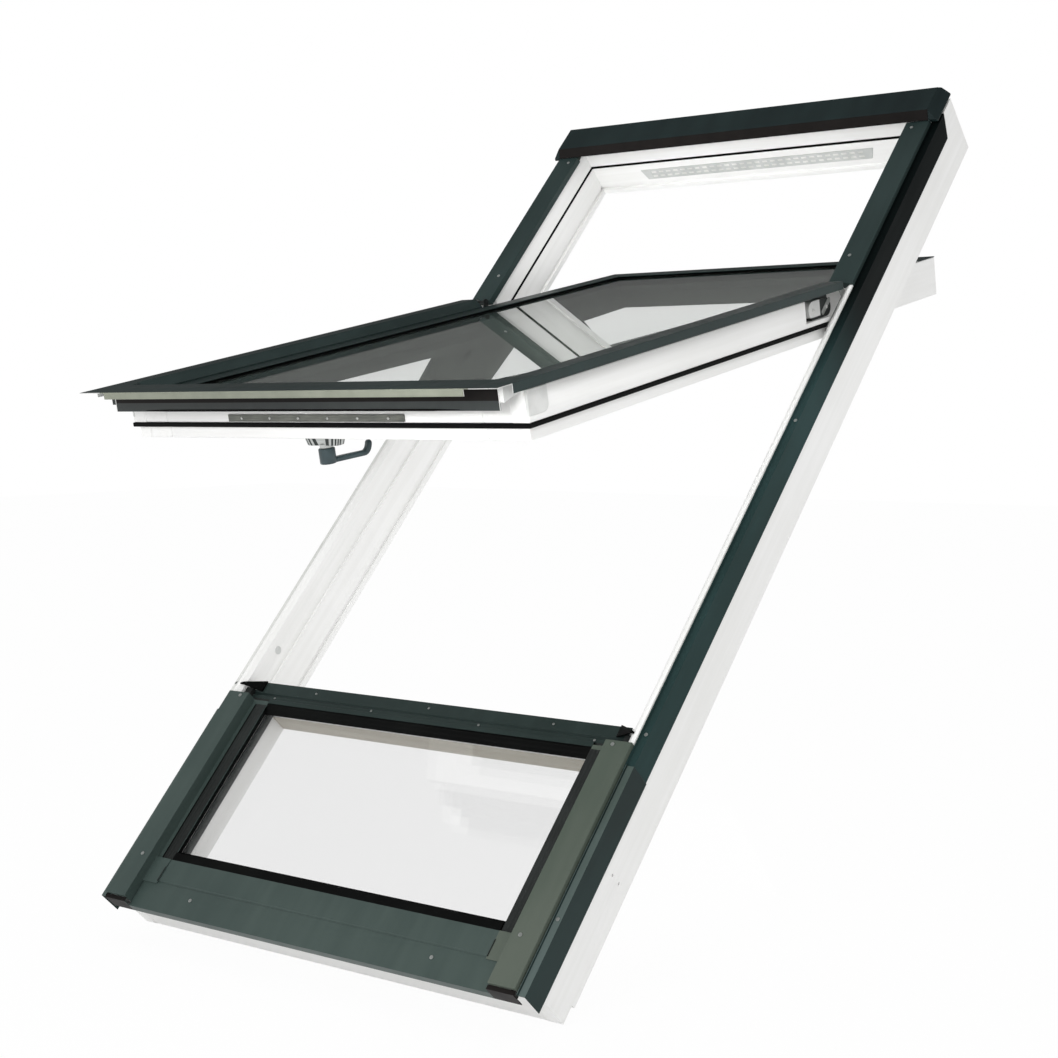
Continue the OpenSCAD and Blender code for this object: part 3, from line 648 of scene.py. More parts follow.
# paler olive painted light for the front faces of the plate's lip
LIP_PAINTED_LIGHT = Lacquer("lip_painted_light", "#84887a", "#74786b", rough=0.36, gloss=0.4)
SEAL_RUBBER = Rubber("seal_rubber")
STRIP_RUBBER = Rubber("strip_rubber", "#2a2e2d", "#202322", gloss=0.3)
CLEAR_GLASS = Glazing("clear_glass", "#fafafa")
SASH_GLASS = Glazing("sash_glass", "#c9cfca")
SPACER_METAL = BareMetal("spacer_metal", "#9a9e9d", "#7d8180", rough=0.4, dots=0.006)
LIGHT_SPACER = Moulded("light_spacer", "#3a3d3c", "#2e3130", rough=0.55)
SATIN_METAL = BareMetal("satin_metal", "#cdd0ce", "#b2b5b3", rough=0.4)
PLATED_STEEL = BareMetal("plated_steel", "#c4c7c5", "#9a9d9b")
DARK_STEEL = BareMetal("dark_steel", "#4a4e4d", "#2f3332", rough=0.42)
LOCK_STEEL = BareMetal("lock_steel", "#84867f", "#5f625d", rough=0.45)
CUT_METAL = BareMetal("cut_metal", "#f2f2f0", "#dcdddb", rough=0.3)
CAP_PLASTIC = Moulded("cap_plastic", "#dfe0de", "#d2d3d1")
GRILLE_PLASTIC = Moulded("grille_plastic", "#c9cbc9", "#bcbfbd")
FILTER_FLEECE = Moulded("filter_fleece", "#e6e6e3", "#cfd0cc", rough=0.8)
LEVER_PAINT = Moulded("lever_paint", "#36464a", "#29373a", rough=0.34)


def grid_faces(rows: int, columns: int, closed: bool) -> np.ndarray:
    """Quads of a grid whose columns close on themselves.

    Args:
        rows: stations along the path.
        columns: points round each station.
        closed: whether the last station joins the first.

    Returns:
        One row of four point numbers for each quad.
    """
    row = np.arange(rows if closed else rows - 1)[:, None]
    column = np.arange(columns)[None, :]
    next_row = (row + 1) % rows
    next_column = (column + 1) % columns
    corners = [
        row * columns + column, row * columns + next_column,
        next_row * columns + next_column, next_row * columns + column,
    ]
    return np.stack(np.broadcast_arrays(*corners), -1).reshape(-1, 4)


@contextmanager
def edited(mesh: bpy.types.Mesh) -> Iterator[bmesh.types.BMesh]:
    """Opens a mesh for changes and writes it back afterwards.

    Args:
        mesh: the mesh.

    Returns:
        The open mesh.
    """
    work = bmesh.new()
    work.from_mesh(mesh)
    yield work
    work.to_mesh(mesh)
    work.free()


def finished(name: str, mesh: bpy.types.Mesh) -> bpy.types.Object:
    """Puts a mesh into the scene, with smooth faces and sharp edges.

    Args:
        name: the object's name.
        mesh: its mesh.

    Returns:
        The new object.
    """
    mesh.polygons.foreach_set("use_smooth", np.ones(len(mesh.polygons), bool))
    mesh.set_sharp_from_angle(angle=SHARP_ANGLE)
    made = bpy.data.objects.new(name, mesh)
    bpy.context.scene.collection.objects.link(made)
    return made


def shell(name: str, grids: Iterable[np.ndarray], closed: bool = False) -> bpy.types.Object:
    """One object of several closed surfaces, each a grid of stations round a path.

    Args:
        name: the object's name.
        grids: arrays of stations by points by three, in the row frame.
        closed: whether each path closes on itself; an open one gets a flat face at both ends.

    Returns:
        The new object, at the origin.
    """
    corners: list[np.ndarray] = []
    faces: list[list[int]] = []
    start = 0
    for grid in grids:
        rows, columns = grid.shape[:2]
        faces += (grid_faces(rows, columns, closed) + start).tolist()
        if not closed:
            faces.append((np.arange(columns)[::-1] + start).tolist())
            faces.append((np.arange(columns) + (rows - 1) * columns + start).tolist())
        corners.append(grid.reshape(-1, 3))
        start += rows * columns
    mesh = bpy.data.meshes.new(name)
    mesh.from_pydata(np.concatenate(corners).tolist(), [], faces)
    with edited(mesh) as work:
        bmesh.ops.recalc_face_normals(work, faces=work.faces)
    return finished(name, mesh)


def placed(name: str, axes: Axes, *grids: np.ndarray, closed: bool = False) -> bpy.types.Object:
    """One object of surfaces that were worked out in an assembly's own axes."""
    return shell(name, [axes.to_row(grid) for grid in grids], closed)


def gridded(across: np.ndarray, up: np.ndarray, out: np.ndarray) -> np.ndarray:
    """A grid of points from their places across, up and out, by station, by point or by both."""
    return np.stack(np.broadcast_arrays(across, up, out), -1)


def angles(count: int) -> np.ndarray:
    """Even angles round a full turn."""
    return np.arange(count) * (FULL_TURN / count)


def sweep(path: np.ndarray, profile: np.ndarray) -> np.ndarray:
    """Carries a profile along an open flat path with mitred corners.

    A station is the path's point plus the profile's inset times the mitre of the two edges that
    meet there, which is the sum of their left normals over one plus their product. The profile's
    second number is the height out of the path's plane.

    Args:
        path: points across and up.
        profile: points of inset and height, in order round the section.

    Returns:
        Stations by points by three.
    """
    step = np.diff(path, axis=0)
    step = np.concatenate([step, step[-1:]])
    step /= np.linalg.norm(step, axis=1, keepdims=True)
    normal = np.stack([-step[:, 1], step[:, 0]], 1)
    before = np.concatenate([normal[:1], normal[:-1]])
    mitre = (normal + before) / (1.0 + np.sum(normal * before, 1, keepdims=True))
    flat = path[:, None, :] + profile[None, :, :1] * mitre[:, None, :]
    return gridded(flat[..., 0], flat[..., 1], profile[:, 1])


def lathe(profile: np.ndarray, sides: int) -> np.ndarray:
    """Turns a profile about the third axis.

    Args:
        profile: points of radius and height.
        sides: points round each circle.

    Returns:
        Stations by points by three, each station a full circle.
    """
    angle = angles(sides)
    radius = profile[:, :1]
    return gridded(radius * np.cos(angle), radius * np.sin(angle), profile[:, 1:])


def aimed(points: np.ndarray, centre: np.ndarray, towards: np.ndarray) -> np.ndarray:
    """Turns a shape's third axis to a direction and moves it to a centre.

    Args:
        points: the shape, its foot at zero.
        centre: where its foot goes.
        towards: the direction, of length one.

    Returns:
        The points in their new place.
    """
    side = np.cross(towards, ASKEW)
    side /= np.linalg.norm(side)
    turn = np.stack([side, np.cross(towards, side), towards])
    return points @ turn + centre


def rounded(width: float, height: float, corner: Corner, count: int = BAR_POINTS) -> np.ndarray:
    """A rounded rectangle: |x / a| to a power plus |y / b| to that power is one.

    Args:
        width: its full width, 2 a.
        height: its full height, 2 b.
        corner: how square it is, which gives the power.
        count: points round it.

    Returns:
        Points by two.
    """
    angle = angles(count)
    bend = 2.0 / corner.value
    x = np.sign(np.cos(angle)) * np.abs(np.cos(angle)) ** bend * width / 2.0
    y = np.sign(np.sin(angle)) * np.abs(np.sin(angle)) ** bend * height / 2.0
    return np.stack([x, y], 1)


def framed(outer: np.ndarray, inner: np.ndarray, section: np.ndarray) -> np.ndarray:
    """Carries a section round a rectangular frame whose sides may differ in width.

    A point lies at the section's share of the way from each outer corner to the inner one, and at
    the section's own height.

    Args:
        outer: lowest and highest corner of the outer rectangle.
        inner: lowest and highest corner of the inner rectangle.
        section: points of share and height, in order round the section.

    Returns:
        Stations by points by three.
    """
    pick = np.array([[0, 0], [1, 0], [1, 1], [0, 1]])
    first, last = [np.stack([box[pick[:, 0], 0], box[pick[:, 1], 1]], 1) for box in (outer, inner)]
    flat = first[:, None, :] + section[None, :, :1] * (last - first)[:, None, :]
    return gridded(flat[..., 0], flat[..., 1], section[:, 1])


def node_body(node: str) -> str:
    """The body that carries a solid."""
    bodies = frame["record"]["behaviour"]["bodies"]
    return next(body for body, members in bodies.items() if node in members)


def install(piece: bpy.types.Object, node: str, finish: Finish, stands_for: bool = True) -> None:
    """Paints a piece and hangs it on the body of a solid.

    Args:
        piece: the new piece.
        node: the solid that it belongs to.
        finish: its finish.
        stands_for: whether the piece takes the solid's place.
    """
    piece.data.materials.clear()
    piece.data.materials.append(finish.material())
    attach(piece, node_body(node))
    if stands_for:
        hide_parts(node)
    LOG.info("%s on %s in %s", piece.name, node_body(node), finish.name)


def dress(node: str, finish: Finish) -> None:
    """Gives a solid that stays as it is its finish.

    Args:
        node: the solid.
        finish: its finish.
    """
    solid = frame["nodes"][node]
    solid.data.materials.clear()
    solid.data.materials.append(finish.material())
    LOG.info("%s in %s", node, finish.name)


def round_edges(piece: bpy.types.Object, radius: float) -> None:
    """Rounds every sharp edge of a piece with a live bevel.

    Args:
        piece: the piece.
        radius: size of the rounding.
    """
    bevel = piece.modifiers.new("eased edges", "BEVEL")
    bevel.width = radius
    bevel.segments = ARRIS_STEPS
    bevel.limit_method = "ANGLE"
    bevel.angle_limit = SHARP_ANGLE


def eased(node: str, finish: Finish, radius: float) -> bpy.types.Object:
    """A solid's own form with joined flat faces and every sharp edge rounded.

    Args:
        node: the solid whose form is copied.
        finish: its finish.
        radius: size of the rounding.

    Returns:
        The piece that stands for the solid.
    """
    mesh = bpy.data.meshes.new(f"{node}_eased")
    with edited(mesh) as work:
        work.from_mesh(frame["nodes"][node].data)
        bmesh.ops.remove_doubles(work, verts=work.verts, dist=MERGE_DISTANCE)
        bmesh.ops.dissolve_limit(work, angle_limit=FLAT_ANGLE, verts=work.verts, edges=work.edges)
    piece = finished(f"{node}_eased", mesh)
    round_edges(piece, radius)
    install(piece, node, finish)
    return piece


def split(piece: bpy.types.Object, place: np.ndarray, direction: np.ndarray) -> None:
    """Cuts the faces of a piece along a plane.

    Args:
        piece: the piece.
        place: a point of the plane.
        direction: the plane's normal.
    """
    with edited(piece.data) as work:
        whole = [*work.verts, *work.edges, *work.faces]
        bmesh.ops.bisect_plane(work, geom=whole, plane_co=place, plane_no=direction)


def split_across(piece: bpy.types.Object, x: float) -> None:
    """Cuts the faces of a piece where it crosses a distance from the middle, on both sides."""
    for side in Side:
        split(piece, side.reach * x * ACROSS, ACROSS)


def trim(piece: bpy.types.Object, place: np.ndarray, direction: np.ndarray) -> None:
    """Takes off what lies past a plane and closes the cut.

    Args:
        piece: the piece.
        place: a point of the plane.
        direction: the plane's normal, towards what is taken off.
    """
    with edited(piece.data) as work:
        whole = [*work.verts, *work.edges, *work.faces]
        cut = bmesh.ops.bisect_plane(
            work, geom=whole, plane_co=place, plane_no=direction, clear_outer=True,
        )
        rim = [part for part in cut["geom_cut"] if isinstance(part, bmesh.types.BMEdge)]
        bmesh.ops.edgenet_fill(work, edges=rim)
        bmesh.ops.recalc_face_normals(work, faces=work.faces)
    piece.data.set_sharp_from_angle(angle=SHARP_ANGLE)


def repaint(
    piece: bpy.types.Object, finish: Finish, towards: np.ndarray | None = None,
    beyond: float = 0.0, least: float = 0.94, axes: Axes = WINDOW,
    up: tuple[float, float] = ANYWHERE, out: tuple[float, float] = ANYWHERE,
) -> None:
    """Gives some faces of a piece a finish of their own.

    Args:
        piece: the piece.
        finish: the faces' finish.
        towards: the direction that the faces look along, in the row frame, or none for all.
        beyond: least distance of a face's centre from the middle, across.
        least: cosine of the widest angle between a face's normal and the direction.
        axes: axes of the two bounds.
        up: lowest and highest place of a face's centre up those axes.
        out: lowest and highest place of a face's centre out of them.
    """
    mesh = piece.data
    normals, centres = np.empty((2, len(mesh.polygons) * 3))
    mesh.polygons.foreach_get("normal", normals)
    mesh.polygons.foreach_get("center", centres)
    local = axes.to_local(centres.reshape(-1, 3))
    low, high = np.stack([up, out], 1)
    within = (local[:, 1:] >= low) & (local[:, 1:] <= high)
    taken = within.all(1) & (np.abs(local[:, 0]) >= beyond)
    if towards is not None:
        taken &= normals.reshape(-1, 3) @ towards > least
    chosen = np.zeros(len(mesh.polygons), np.int32)
    mesh.polygons.foreach_get("material_index", chosen)
    mesh.materials.append(finish.material())
    chosen[taken] = len(mesh.materials) - 1
    mesh.polygons.foreach_set("material_index", chosen)
    LOG.info("%s has faces in %s", piece.name, finish.name)


@dataclass
class TimberFrame:
    """Jambs, rails, fixed-light stiles and upper stops in white paint."""

    arris: float = 0.0016
    small_arris: float = 0.001
    reveal_in: float = 0.372
    reveal_n: float = -0.089
    splay_in: float = 0.0505
    splay_up: float = 0.032
    plug_s: float = 0.575
    plug_n: float = -0.03
    plug_radius: float = 0.0079
    plug_shares: tuple[float, ...] = (1.0, 1.0, 0.86, 0.3)
    plug_heights: tuple[float, ...] = (0.0, 0.0006, 0.0012, 0.0014)
    plug_sides: int = 28

    def light_stile(self, side: Side) -> None:
        """A stile beside the fixed pane: its rebated and splayed section carried up the slope.

        The upper end of each point of the section rises with its depth past the reveal, so that
        the end lies on the splay of the transom.

        Args:
            side: which stile.
        """
        node = f"light_stile_{side}"
        low, high = WINDOW.span(node)
        back = WINDOW.span("light_pane_inner")[0][2]
        pane = WINDOW.span("light_gasket")[1][0]
        jamb = WINDOW.sideways(node)[1]
        section = np.array([
            [self.reveal_in, back], [self.reveal_in, self.reveal_n],
            [self.reveal_in + self.splay_in, low[2]], [jamb, low[2]], [jamb, self.reveal_n],
            [jamb, high[2]], [pane, high[2]], [pane, back],
        ])
        deep = np.clip((self.reveal_n - section[:, 1]) / (self.reveal_n - low[2]), 0.0, 1.0)
        ends = np.stack([np.full(len(section), low[1]), high[1] + self.splay_up * deep])
        grid = gridded(side.reach * section[:, 0], ends, section[:, 1])
        piece = placed(f"{node}_splayed", WINDOW, grid)
        round_edges(piece, self.arris)
        install(piece, node, FRAME_TIMBER)

    def transom(self) -> None:
        """The transom, its lower room-side edge splayed like the stiles."""
        low = WINDOW.span("transom_rail")[0]
        piece = eased("transom_rail", RAIL_TIMBER, self.arris)
        square = np.array([0.0, low[2] - self.reveal_n, -self.splay_up])
        place = WINDOW.to_row(np.array([0.0, low[1], self.reveal_n]))
        trim(piece, place, square @ WINDOW.turn / np.linalg.norm(square))
        # faces that look down the slope take a beige-grey painted shade
        repaint(piece, UNDERSIDE_PAINTED_SHADE, -WINDOW.up)

    def jamb_plug(self, side: Side) -> None:
        """A turned plug over the latch hole, on the inner face of a jamb.

        Args:
            side: which jamb.
        """
        jamb = WINDOW.span("transom_rail")[1][0]
        radii = self.plug_radius * np.array(self.plug_shares)
        dome = lathe(np.stack([radii, self.plug_heights], 1), self.plug_sides)
        place = np.array([side.reach * jamb, self.plug_s, self.plug_n])
        grid = aimed(dome, place, -side.reach * ACROSS)
        piece = placed(f"jamb_plug_{side}", WINDOW, grid)
        install(piece, "vent_grille", GRILLE_PLASTIC, stands_for=False)

    def build(self) -> None:
        """Makes and paints the fixed timber."""
        for side in Side:
            eased(f"jamb_{side}", FRAME_TIMBER, self.arris)
            self.jamb_plug(side)
            self.light_stile(side)
            eased(f"upper_stop_{side}", FRAME_TIMBER, self.small_arris)
        for rail in ("head_rail", "sill_rail"):
            eased(rail, RAIL_TIMBER, self.arris)
        self.transom()


@dataclass
class FrameCovers:
    """Edge profiles, side covers, light covers and the hood of the fixed frame."""

    fold: float = 0.0006
    hood_fold: float = 0.0012
    hood_lean: float = 0.8
    plug_t: float = 0.0035
    plug_fall: float = 0.018
    plug_flat_share: float = 0.16
    plug_tip: float = 0.002
    plug_rows: int = 14
    lip_n: float = -0.002
    corner_x: float = 0.4655
    apron_in: float = 0.4046

    def transom_plug(self, side: Side) -> None:
        """A low rubber wedge in the corner of the transom.

        At a share t of the way in from the jamb's rim the wedge is a rounded bar up the slope. It
        widens evenly from its tip to the solid's length, and past a short flat its top falls
        evenly.

        Args:
            side: which plug.
        """
        node = f"transom_plug_{side}"
        low, high = WINDOW.span(node)
        inner, outer = WINDOW.sideways(node)
        t = np.linspace(0.0, 1.0, self.plug_rows)
        wide = self.plug_tip + (high[1] - low[1] - self.plug_tip) * t
        fall = np.clip((t - self.plug_flat_share) / (1.0 - self.plug_flat_share), 0.0, 1.0)
        top = high[2] - self.plug_fall * fall
        bar = rounded(1.0, self.plug_t, Corner.FIRM)
        up = low[1] + wide[:, None] * (0.5 + bar[:, 0])
        out = (top - self.plug_t / 2.0)[:, None] + bar[:, 1]
        across = side.reach * (outer + (inner - outer) * t)
        piece = placed(f"{node}_wedge", WINDOW, gridded(across[:, None], up, out))
        install(piece, node, SEAL_RUBBER)

    def edge_profiles(self, side: Side) -> None:
        """The lower profile, painted light on its ledge; the upper one, with a pale inner wall.

        The upper one darkens up the slope as painted shade. The left upper one also has its lip
        and the outer part of its ledge as a pale painted highlight.

        Args:
            side: which side.
        """
        lower = eased(f"edge_profile_lower_{side}", BAND_LACQUER, self.fold)
        # out-facing ledge faces take painted light
        repaint(lower, LEDGE_PAINTED_LIGHT, WINDOW.out)
        upper = eased(f"edge_profile_upper_{side}", UPPER_BAND_PAINTED_SHADE, self.fold)
        # the inner wall is painted pale
        repaint(upper, PALE_WALL_AND_PAINTED_HIGHLIGHT, -side.reach * ACROSS)
        if side is Side.LEFT:
            # lip top and outer ledge take a pale painted highlight
            split_across(upper, self.corner_x)
            repaint(upper, PALE_WALL_AND_PAINTED_HIGHLIGHT, WINDOW.out, out=(self.lip_n, math.inf))
            repaint(upper, PALE_WALL_AND_PAINTED_HIGHLIGHT, WINDOW.out, beyond=self.corner_x)

    def build(self) -> None:
        """Makes and paints the covers."""
        for side in Side:
            self.edge_profiles(side)
            eased(f"upper_cover_{side}", DARK_LACQUER, self.fold)
            # the hood ends take the lacquer darkened as painted shade
            eased(f"hood_end_{side}", HOOD_LACQUER_PAINTED_SHADE, self.hood_fold)
            self.transom_plug(side)
        # lower and bottom covers carry painted light, the right lower cover most
        eased("lower_cover_left", COVER_LACQUER_PAINTED_LIGHT, self.fold)
        eased("lower_cover_right", RIGHT_COVER_PAINTED_LIGHT, self.fold)
        bottom = eased("bottom_cover", COVER_LACQUER_PAINTED_LIGHT, self.fold)
        # the end aprons of the bottom cover take near-black painted shade
        split_across(bottom, self.apron_in)
        repaint(bottom, DEEP_PAINTED_SHADE, beyond=self.apron_in)
        eased("transom_cover", TRANSOM_LACQUER, self.fold)
        # hood lacquer darkened as painted shade, its down-slope face in near-black painted shade
        hood = eased("hood", HOOD_LACQUER_PAINTED_SHADE, self.fold)
        repaint(hood, DEEP_PAINTED_SHADE, -WINDOW.up, least=self.hood_lean)


@dataclass
class GlassUnit:
    """Panes, spacer and ribbed gasket of one glazed opening."""

    name: str
    axes: Axes
    glass: Finish
    ring_height: float
    laps: tuple[float, float, float]
    spacer_finish: Finish
    spacer_w: float
    spacer_set: float
    play: float = 0.002
    lip_share: float = 0.62
    rib_share: float = 0.03
    rib_count: int = 2
    lip_points: int = 15
    bead_height: float = 0.004
    bead_lap: float = 0.012
    bead_end: float = 0.007
    bead_points: int = 32

    def gasket_section(self) -> np.ndarray:
        """Section of the gasket: a flat back, and a leaning front with two soft ribs.

        The front's share of the width at a share t of the height is 1 - lip t, plus a small sine
        of two waves.

        Returns:
            Points of share and height.
        """
        t = np.linspace(0.0, 1.0, self.lip_points)
        ribs = self.rib_share * np.sin(FULL_TURN * self.rib_count * t)
        front = np.stack([1.0 - self.lip_share * t + ribs, self.ring_height * t], 1)
        back = np.array([[0.0, self.ring_height], [0.0, 0.0]])
        return np.concatenate([front, back])

    def edges(self) -> np.ndarray:
        """Lowest and highest corner of the glass."""
        return np.stack(self.axes.span(f"{self.name}_pane_outer"))

    def gasket(self) -> bpy.types.Object:
        """Carries the gasket's section round the pane, with a bead along a solid foot below it.

        Returns:
            The gasket.
        """
        low, high = self.axes.span(f"{self.name}_gasket")
        pane = self.edges()
        outer = pane[:, :2] + np.array([[-self.play], [self.play]])
        side, foot, head = self.laps
        inner = outer + np.array([[side, foot], [-side, -head]])
        section = self.gasket_section() + np.array([0.0, pane[1, 2]])
        grid = framed(outer, inner, section)
        made = placed(f"{self.name}_gasket_lip", self.axes, grid, closed=True)
        if outer[0, 1] - low[1] > self.play:
            made = self.joined(made, self.foot_bead(low, high, outer[0, 1] + self.bead_lap))
        return made

    def foot_bead(self, low: np.ndarray, high: np.ndarray, top: float) -> bpy.types.Object:
        """A rounded bead along the gasket's foot: a superellipse carried straight across.

        Args:
            low: lowest corner of the solid gasket.
            high: highest corner of the solid gasket.
            top: upper edge of the bead.

        Returns:
            The bead.
        """
        half = -low[0] - self.bead_end
        section = rounded(top - low[1], self.bead_height, Corner.BULB, self.bead_points)
        ring = section + np.array([(top + low[1]) / 2.0, high[2] - self.bead_height / 2.0])
        grid = gridded(np.array([[-half], [half]]), ring[:, 0], ring[:, 1])
        return placed(f"{self.name}_gasket_bead", self.axes, grid)

    @staticmethod
    def joined(first: bpy.types.Object, second: bpy.types.Object) -> bpy.types.Object:
        """Moves the second piece's mesh into the first one.

        Args:
            first: the piece that stays.
            second: the piece that goes.

        Returns:
            The first piece.
        """
        with edited(first.data) as work:
            work.from_mesh(second.data)
        bpy.data.objects.remove(second)
        return first

    def spacer(self) -> bpy.types.Object:
        """Carries the spacer's rounded bar round the space between the panes.

        Returns:
            The spacer.
        """
        low, high = self.axes.span(f"{self.name}_spacer")
        pane = self.edges()[:, :2]
        outer = pane + np.array([[self.spacer_set], [-self.spacer_set]])
        inner = outer + np.array([[self.spacer_w], [-self.spacer_w]])
        middle = np.array([0.5, (low[2] + high[2]) / 2.0])
        bar = rounded(1.0, high[2] - low[2], Corner.CRISP) + middle
        return placed(f"{self.name}_spacer_bar", self.axes, framed(outer, inner, bar), closed=True)

    def build(self) -> None:
        """Makes and paints the unit."""
        for pane in (f"{self.name}_pane_outer", f"{self.name}_pane_inner"):
            dress(pane, self.glass)
            frame["nodes"][pane].visible_shadow = False
            frame["nodes"][pane].visible_diffuse = False
        install(self.spacer(), f"{self.name}_spacer", self.spacer_finish)
        install(self.gasket(), f"{self.name}_gasket", SEAL_RUBBER)


@dataclass
class LightStrips:
    """Glazing strips beside the fixed pane, on the flanges of the lower covers."""

    inner: float = 0.3705
    groove: float = 0.3945
    outer: float = 0.3985
    foot: float = 0.0995
    head: float = 0.4405
    thick: float = 0.0009
    low_share: float = 1.0 / 3.0
    step: float = 0.0004
    step_middle: float = 0.0002
    rib: float = 0.00025
    rib_count: int = 3
    points: int = 25
    over_pane: float = 0.01
    packings: tuple[tuple[float, ...], ...] = (
        (0.3705, 0.4238, 0.4502, 0.4572, -0.0246, -0.0205),
        (0.4248, 0.4406, 0.4502, 0.4745, -0.0246, -0.0125),
        (0.4048, 0.4406, 0.0048, 0.0198, -0.034, -0.0168),
    )

    def packing(self, side: Side) -> None:
        """Rubber packings under the cover's ends: rounded bars carried straight across.

        Args:
            side: which cover.
        """
        grids = []
        for inner, outer, foot, head, base, top in self.packings:
            middle = np.array([(foot + head) / 2.0, (base + top) / 2.0])
            bar = rounded(head - foot, top - base, Corner.CRISP) + middle
            ends = side.reach * np.array([[inner], [outer]])
            grids.append(gridded(ends, bar[:, 0], bar[:, 1]))
        piece = placed(f"corner_packing_{side}", WINDOW, *grids)
        install(piece, "light_gasket", STRIP_RUBBER, stands_for=False)

    def section(self) -> np.ndarray:
        """Section of a strip, low and ribbed.

        The height over the flange is the thickness plus a small sine of three waves up to the
        groove, and a third of the thickness past it.

        Returns:
            Points of distance from the middle and height.
        """
        t = np.linspace(0.0, 1.0, self.points)
        x = self.inner + (self.groove - self.inner) * t
        height = self.thick + self.rib * np.sin(FULL_TURN * self.rib_count * t)
        low = self.thick * self.low_share
        tail = np.array([
            [self.groove + self.step, low], [self.outer, low], [self.outer, 0.0], [self.inner, 0.0],
        ])
        return np.concatenate([np.stack([x, height], 1), tail])

    def build(self) -> None:
        """Carries the section along each side, with its outer groove black, and adds packings."""
        flange = WINDOW.span("light_pane_outer")[1][2] + self.over_pane
        x, height = self.section().T
        ends = np.array([[self.foot], [self.head]])
        for side in Side:
            grid = gridded(side.reach * x, ends, flange + height)
            piece = placed(f"light_strip_{side}", WINDOW, grid)
            install(piece, "light_gasket", STRIP_RUBBER, stands_for=False)
            repaint(piece, SEAL_RUBBER, WINDOW.out, beyond=self.groove + self.step_middle)
            self.packing(side)


@dataclass
class VentGrille:
    """The slotted grille in the head, with a strip of filter fleece behind its slots."""

    arris: float = 0.0004
    margin: float = 0.003
    end_margin: float = 0.015
    set_back: float = 0.0016
    thick: float = 0.001
    wave: float = 0.0002
    pitch: float = 0.004
    rows: int = 290
    bar_points: int = 16

    def build(self) -> None:
        """Makes the grille and carries the fleece's rounded bar across, with a fine ripple."""
        eased("vent_grille", GRILLE_PLASTIC, self.arris)
        low, high = WINDOW.span("vent_grille")
        x = np.linspace(low[0] + self.end_margin, high[0] - self.end_margin, self.rows)[:, None]
        tall = high[2] - low[2] - 2.0 * self.margin
        bar = rounded(self.thick, tall, Corner.CRISP, self.bar_points)
        middle = low[1] + self.set_back + self.thick / 2.0
        up = middle + self.wave * np.sin(FULL_TURN * x / self.pitch) + bar[:, 0]
        grid = gridded(x, up, (low[2] + high[2]) / 2.0 + bar[:, 1])
        piece = placed("vent_fleece", WINDOW, grid)
        install(piece, "vent_grille", FILTER_FLEECE, stands_for=False)


@dataclass
class Seals:
    """Bulb seals of the closing faces."""

    upper_swell: float = 1.1

    def run(self, node: str, axes: Axes, up_to_head: bool, swell: float) -> None:
        """Carries a bulb along both sides and one end of a seal, in place of its solid.

        Args:
            node: the solid seal.
            axes: the axes that it lies flat in.
            up_to_head: whether the end that it rounds is the upper one.
            swell: width of the bulb over its height.
        """
        low, high = axes.span(node)
        thick = high[2] - low[2]
        x = high[0] - thick / 2.0
        if up_to_head:
            free, turned = low[1], high[1] - thick / 2.0
        else:
            free, turned = high[1], low[1] + thick / 2.0
        path = np.array([[-x, free], [-x, turned], [x, turned], [x, free]])
        middle = np.array([0.0, (low[2] + high[2]) / 2.0])
        bulb = rounded(thick * swell, thick, Corner.BULB) + middle
        install(placed(f"{node}_bulb", axes, sweep(path, bulb)), node, SEAL_RUBBER)

    def build(self) -> None:
        """Makes the closing seal of the sash and the upper seal of the frame."""
        self.run("closing_seal", SASH, False, 1.0)
        self.run("upper_seal", WINDOW, True, self.upper_swell)


@dataclass
class SashTimber:
    """Stiles, rails, closing strips and their pale end caps."""

    arris: float = 0.002
    small_arris: float = 0.001

    def build(self) -> None:
        """Makes and paints the sash timber."""
        for side in Side:
            eased(f"sash_stile_{side}", SASH_TIMBER, self.arris)
            eased(f"closing_strip_{side}", SASH_TIMBER, self.small_arris)
            eased(f"strip_cap_{side}", CAP_PLASTIC, self.small_arris)
        for rail in ("sash_top_rail", "sash_bottom_rail"):
            eased(rail, RAIL_TIMBER, self.arris)


